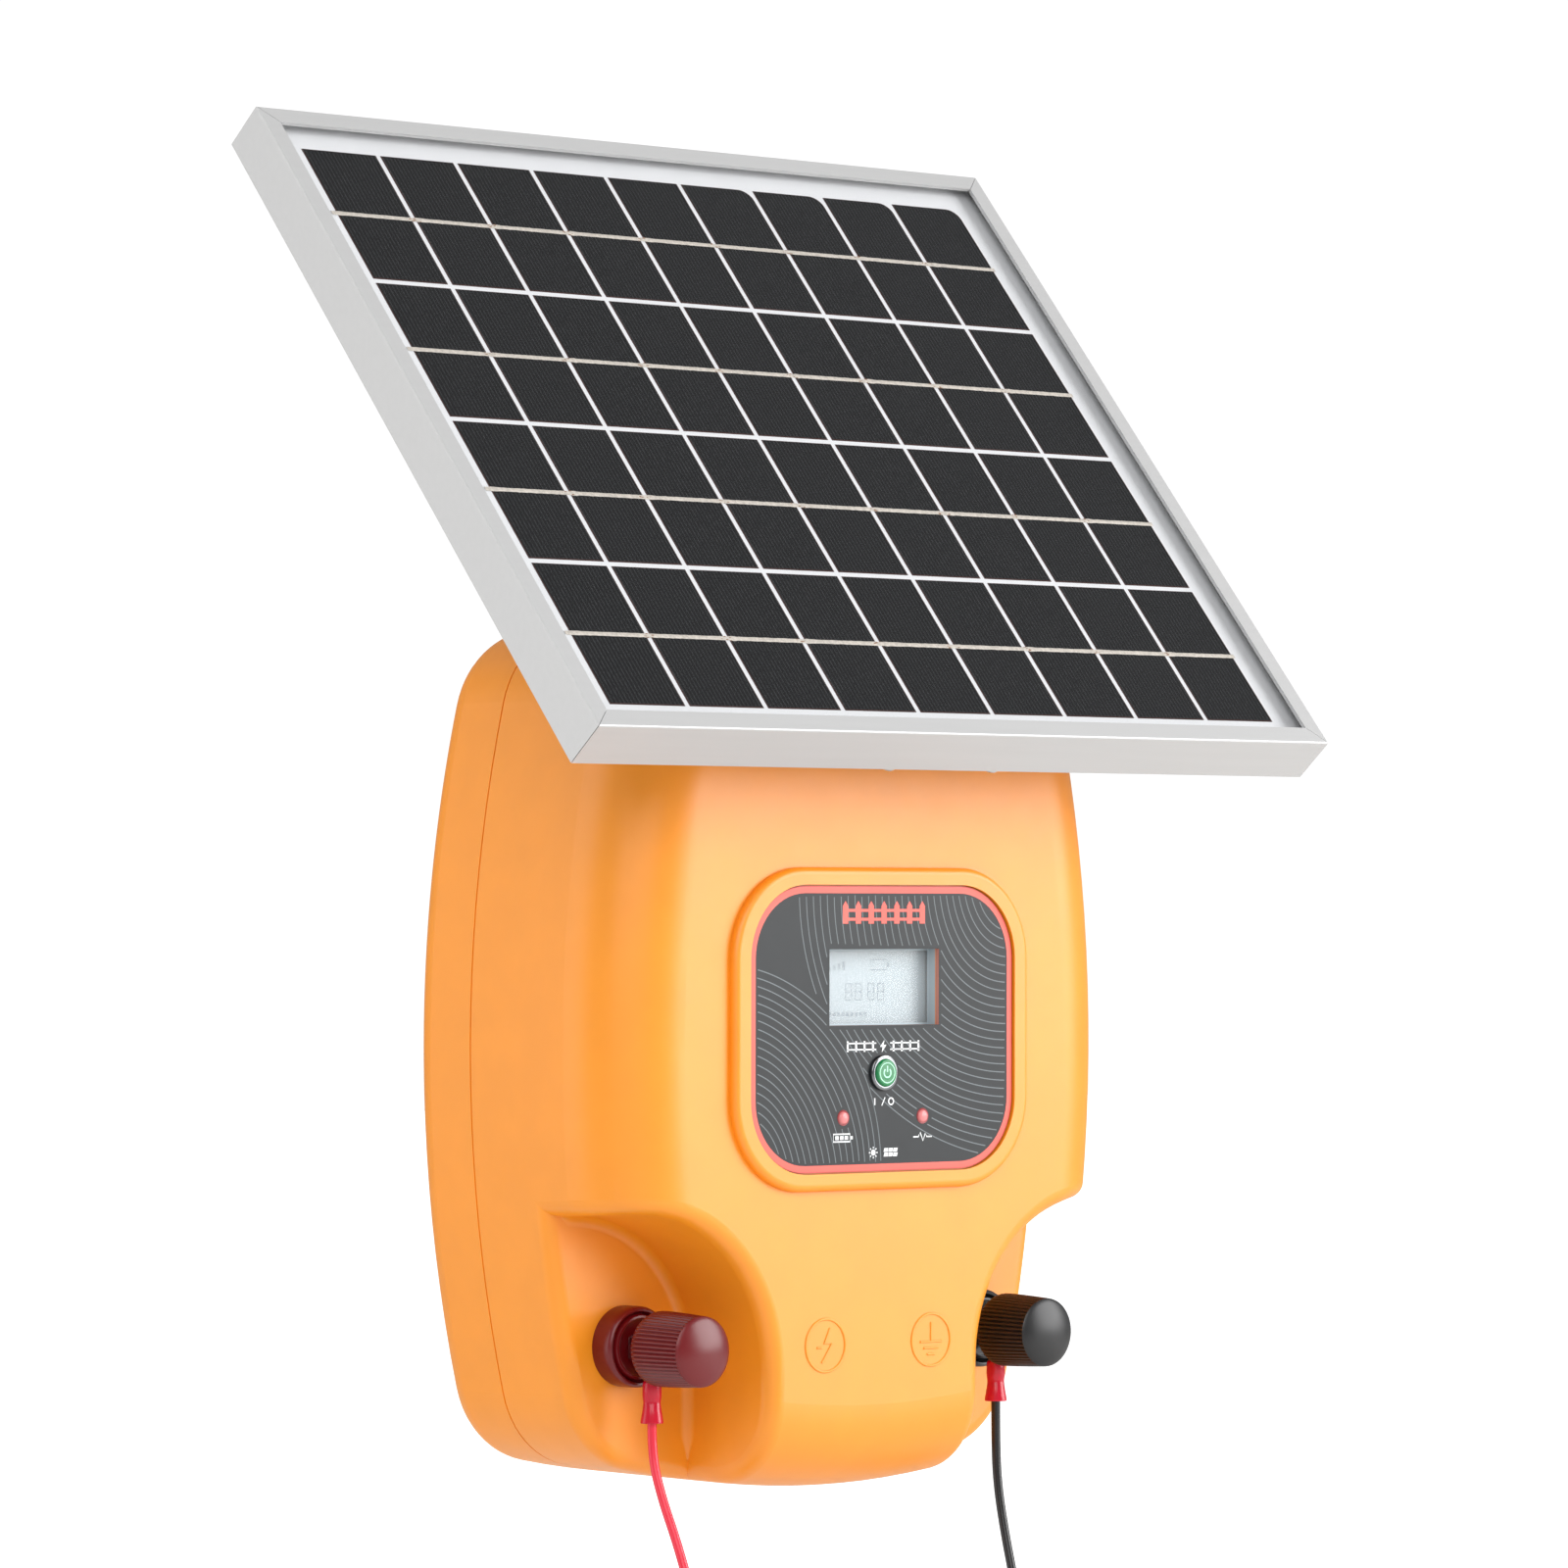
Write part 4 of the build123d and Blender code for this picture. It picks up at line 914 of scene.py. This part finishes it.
def make_screws():
    flip = Matrix.Rotation(math.pi, 4, "X")
    places = [PANEL @ Matrix.Translation((x, y, -19.45)) @ flip for x in (-22, 22) for y in (7, 254)]
    screw_heads("crossbar_screw_heads", places, 4.05, 2.6, "panel")
    places = [Matrix.Translation((x * MM, y * MM, 0.1379)) @ Matrix.Scale(MM, 4)
              for x in (-16, 16) for y in (-88, -72)]
    screw_heads("yoke_screw_heads", places, 3.85, 2.6, "housing")
    back = Matrix.Rotation(math.pi, 4, "Z")
    places = [back @ toward_front(-x, 48.1, z) for x, z in
              ((-82, 96), (82, 96), (-97, 5), (97, 5), (-66, -124), (66, -124))]
    screw_heads("cover_screw_heads", places, 3.9, 1.2, "housing")


def rounded_slab(name, size, radius, edge, matrix, material, body, slot, steps=8):
    """A rounded plate with a soft top edge, standing on local Z = 0."""
    width, height, depth = size
    rows = [(0, 0), (0, depth - edge)]
    rows += [(edge * (1 - math.cos(math.radians(a))), depth - edge + edge * math.sin(math.radians(a)))
             for a in (25, 50, 70, 90)]
    verts, faces = [], []
    for inset, z in rows:
        outline = rounded_outline(width - 2 * inset, height - 2 * inset, max(0.2, radius - inset), steps)
        verts += [(x, y, z) for x, y in outline]
    n = len(outline)
    for k in range(len(rows) - 1):
        for i in range(n):
            a, b = k * n + i, k * n + (i + 1) % n
            faces.append((a, b, b + n, a + n))
    faces.append(tuple((len(rows) - 1) * n + i for i in range(n)))
    return finish_piece(mesh_piece(name, placed(verts, matrix), faces), material, body, slot)


def make_box_lid():
    flip = Matrix.Rotation(math.pi, 4, "X")
    under = PANEL @ Matrix.Translation((78, 175, -15.4)) @ flip
    look = (M["black_plastic"], "panel", "black_plastic")
    rounded_slab("junction_lid", (56, 46, 1.3), 5, 0.6, under, *look)
    for k in range(5):
        rib = under @ Matrix.Translation((0, -10 + 5 * k, 1.2))
        rounded_slab(f"junction_rib_{k}", (30, 1.6, 0.7), 0.8, 0.3, rib, *look, 4)
    verts, faces = lathe([(3.7, 0), (4.9, 0.2), (5.0, 4.5), (4.6, 5.2), (4.2, 5.6), (4.1, 8.0), (3.5, 9.0),
                          (2.4, 9.2), (2.3, 6.0)], 12)
    gland = PANEL @ Matrix.Translation((78, 149.8, -10.5)) @ Matrix.Rotation(math.radians(90), 4, "X")
    finish_piece(mesh_piece("junction_gland", placed(verts, gland), faces), *look)


make_screws()
make_box_lid()


# ------------------------------------------------------------------ clips and coil ties

def loft(sections):
    """Verts and faces through equal-length rings of points, closed at both ends."""
    n = len(sections[0])
    verts = [point for ring in sections for point in ring]
    faces = [(k * n + i, k * n + (i + 1) % n, (k + 1) * n + (i + 1) % n, (k + 1) * n + i)
             for k in range(len(sections) - 1) for i in range(n)]
    faces.append(tuple(range(n)))
    faces.append(tuple((len(sections) - 1) * n + i for i in range(n)))
    return verts, faces


def make_boot(name, side, half_width, matrix, material, slot, body):
    """A soft grip over one handle of a clip, ribbed across."""
    sections = []
    full = 2 * half_width + 1.5
    if side > 0:
        rows = [(10.3, 4.6, 4.2, 7.0), (10.0, 5.6, 5.2, 7.0), (9.2, 6.2, 5.8, 7.0), (6.0, 6.6, 5.8, 7.0),
                (3.4, 8.0, 5.5, 7.3), (1.2, 10.4, 4.8, 7.8)]
    else:
        rows = [(2.0, full * 0.5, 2.0, 8.05), (1.7, full * 0.8, 3.2, 8.05), (0.9, full * 0.96, 4.0, 8.05)]
    for i in range(34):
        z = -0.15 - 0.45 * i
        rib = 0.5 * math.sin(z * math.pi / 1.8) ** 2 if -13 < z < -2 else 0
        rows.append((z, full + rib, 4.3 + rib, 8.05 + 0.168 * z))
    rows += [(-15.6, full - 0.2, 4.1, 5.43), (-15.9, full - 0.9, 3.5, 5.38)]
    for z, width, depth, centre in rows:
        outline = rounded_outline(width, depth, 0.48 * depth, 6)
        sections.append([(x, side * (centre + y), z) for x, y in outline])
    verts, faces = loft(sections)
    return finish_piece(mesh_piece(name, placed(verts, matrix), faces), material, body, slot)


def make_teeth(name, side, half_width, matrix, body):
    """Pressed teeth along both edges of one jaw."""
    verts, faces = [], []
    for wall in (-1, 1):
        for i in range(13):
            z = -35.5 - 1.8 * i
            x0, x1 = wall * (half_width - 0.9), wall * (half_width + 0.22)
            base = len(verts)
            for x in (x0, x1):
                verts += [(x, side * 1.5, z + 0.8), (x, side * 0.22, z), (x, side * 1.5, z - 0.8)]
            prism = ((0, 1, 2), (3, 5, 4), (0, 3, 4, 1), (1, 4, 5, 2), (2, 5, 3, 0))
            faces += [tuple(base + i for i in face) for face in prism]
    teeth = mesh_piece(name, placed(verts, matrix), faces, False)
    return finish_piece(teeth, M["clip_steel"], body, "clip_steel")


def make_spring(name, matrix):
    """The clip's torsion spring, wound on the pin with a leg up each handle."""
    points = [(-2.6, 5.2, 9.5)]
    for i in range(6 * 14 + 1):
        a = 2 * math.pi * i / 14
        points.append((-2.6 + 5.2 * i / 84, 2.1 * math.cos(a), 2.1 * math.sin(a)))
    points.append((2.6, -1.2, 4.5))
    curve = bpy.data.curves.new(name, "CURVE")
    curve.dimensions = "3D"
    spline = curve.splines.new("POLY")
    spline.points.add(len(points) - 1)
    for point, place in zip(spline.points, points):
        point.co = (*(matrix @ Vector(place)), 1)
    curve.bevel_depth = 0.00038
    curve.bevel_resolution = 3
    curve.use_fill_caps = True
    curve.materials.append(M["bright_steel"])
    spring = add(name, curve)
    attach(spring, "housing")


def make_clips():
    for colour, place, slot in (("red", (-70.3, -143.9, -276.0), "red_vinyl"),
                                ("black", (77.7, -133.5, -286.0), "black_plastic")):
        matrix = Matrix.Translation([c * MM for c in place]) @ Matrix.Scale(MM, 4)
        for side, half_width, part, body in ((1, 5.0, "base", "housing"), (-1, 3.9, "jaw", colour + "_jaw")):
            make_boot(f"{colour}_{part}_boot", side, half_width, matrix, M[slot], slot, body)
            make_teeth(f"{colour}_{part}_teeth", side, half_width, matrix, body)
        pivot = matrix @ Matrix.Translation((0, 0, -25))
        make_spring(colour + "_clip_spring", pivot)
        for side in (-1, 1):
            turn = Matrix.Rotation(side * math.pi / 2, 4, "Y")
            verts, faces = lathe([(1.9, 5.05), (1.9, 5.5), (1.6, 5.95), (0.9, 6.2), (0, 6.25)], 24)
            head = mesh_piece(f"{colour}_pin_head_{'ab'[side > 0]}", placed(verts, pivot @ turn), faces)
            finish_piece(head, M["bright_steel"], "housing", "bright_steel")


def make_tie(name, place):
    """A nylon tie round the coil's two bundles of turns: rounded band, ratchet head, cut end."""
    x, y, z = place
    sections = []
    for height, inset in ((-2.0, 0.25), (-1.75, 0.0), (1.75, 0.0), (2.0, 0.25)):
        outline = rounded_outline(18.0 - inset, 8.8 - inset, 2.4, 8)
        sections.append([(x + a, y + b, z + height) for a, b in outline])
    opening = rounded_outline(15.9, 6.7, 1.8, 8)
    inner = [[(x + a, y + b, z + height) for a, b in opening] for height in (2.0, -2.0)]
    rings = sections + inner
    n, count = len(opening), len(rings)
    verts = [point for ring in rings for point in ring]
    faces = [(k * n + i, k * n + (i + 1) % n, (k + 1) % count * n + (i + 1) % n, (k + 1) % count * n + i)
             for k in range(count) for i in range(n)]
    band = mesh_piece(name, placed(verts, Matrix.Scale(MM, 4)), faces)
    look = (M["black_plastic"], "housing", "black_plastic")
    finish_piece(band, *look)
    head = toward_front(x + 3, y - 4.3, z)
    rounded_slab(name + "_head", (4.6, 5.2, 3.0), 0.8, 0.5, head, *look, 5)
    rounded_slab(name + "_end", (2.6, 1.0, 6.0), 0.4, 0.2, head, *look, 4)
    return band


make_clips()
red_tie = make_tie("red_coil_tie", (-67.8, -135.9, -195.0))
make_tie("black_coil_tie", (80.2, -125.5, -205.0))
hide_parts("coil_ties")


# ------------------------------------------------------------------ studio

FLOOR_Z, FLOOR_REACH = -0.385, 9


def area_light(name, place, target, size, power):
    light = bpy.data.lights.new(name, "AREA")
    light.shape = "RECTANGLE"
    light.size, light.size_y = size
    light.energy = power
    obj = add(name, light)
    obj.location = place
    obj.rotation_euler = (Vector(target) - Vector(place)).to_track_quat("-Z", "Y").to_euler()
    return obj


def camera_only(tree, seen, lit):
    """A strength that is `seen` where the camera looks and `lit` for everything else."""
    path = tree.nodes.new("ShaderNodeLightPath")
    span = tree.nodes.new("ShaderNodeMapRange")
    span.inputs["To Min"].default_value, span.inputs["To Max"].default_value = lit, seen
    tree.links.new(path.outputs["Is Camera Ray"], span.inputs["Value"])
    return span.outputs["Result"]


def make_studio():
    scene = bpy.context.scene
    scene.view_settings.view_transform = "Standard"
    scene.view_settings.look = "None"
    world = bpy.data.worlds.new("studio")
    scene.world = world
    world.use_nodes = True
    background = world.node_tree.nodes["Background"]
    background.inputs["Color"].default_value = (1, 1, 1, 1)
    world.node_tree.links.new(camera_only(world.node_tree, 1.05, 0.38), background.inputs["Strength"])
    area_light("key", (1.40, -1.55, 0.58), (0, -0.1, -0.03), (1.6, 1.5), 45)
    area_light("side", (-1.75, 0.95, 0.25), (0, -0.05, 0), (1.5, 1.9), 12)
    area_light("fill", (-1.1, -1.35, 1.0), (0, -0.1, 0), (1.6, 1.6), 20)
    area_light("top", (-0.7, 0.5, 1.9), (0, -0.1, 0), (1.4, 1.4), 9)
    corners = [(x * FLOOR_REACH, y * FLOOR_REACH, FLOOR_Z) for x, y in ((-1, -1), (1, -1), (1, 1), (-1, 1))]
    floor = mesh_piece("floor", corners, [(0, 1, 2, 3)], False)
    pale = shader("pale_floor", (0.80, 0.79, 0.77, 1), 0.8)
    surface = pale.node_tree.nodes["Principled BSDF"]
    surface.inputs["Emission Color"].default_value = (1, 1, 1, 1)
    pale.node_tree.links.new(camera_only(pale.node_tree, 1.0, 0.12), surface.inputs["Emission Strength"])
    uneven(pale, 20, 0.7, 0.85)
    floor.data.materials.append(pale)


make_studio()
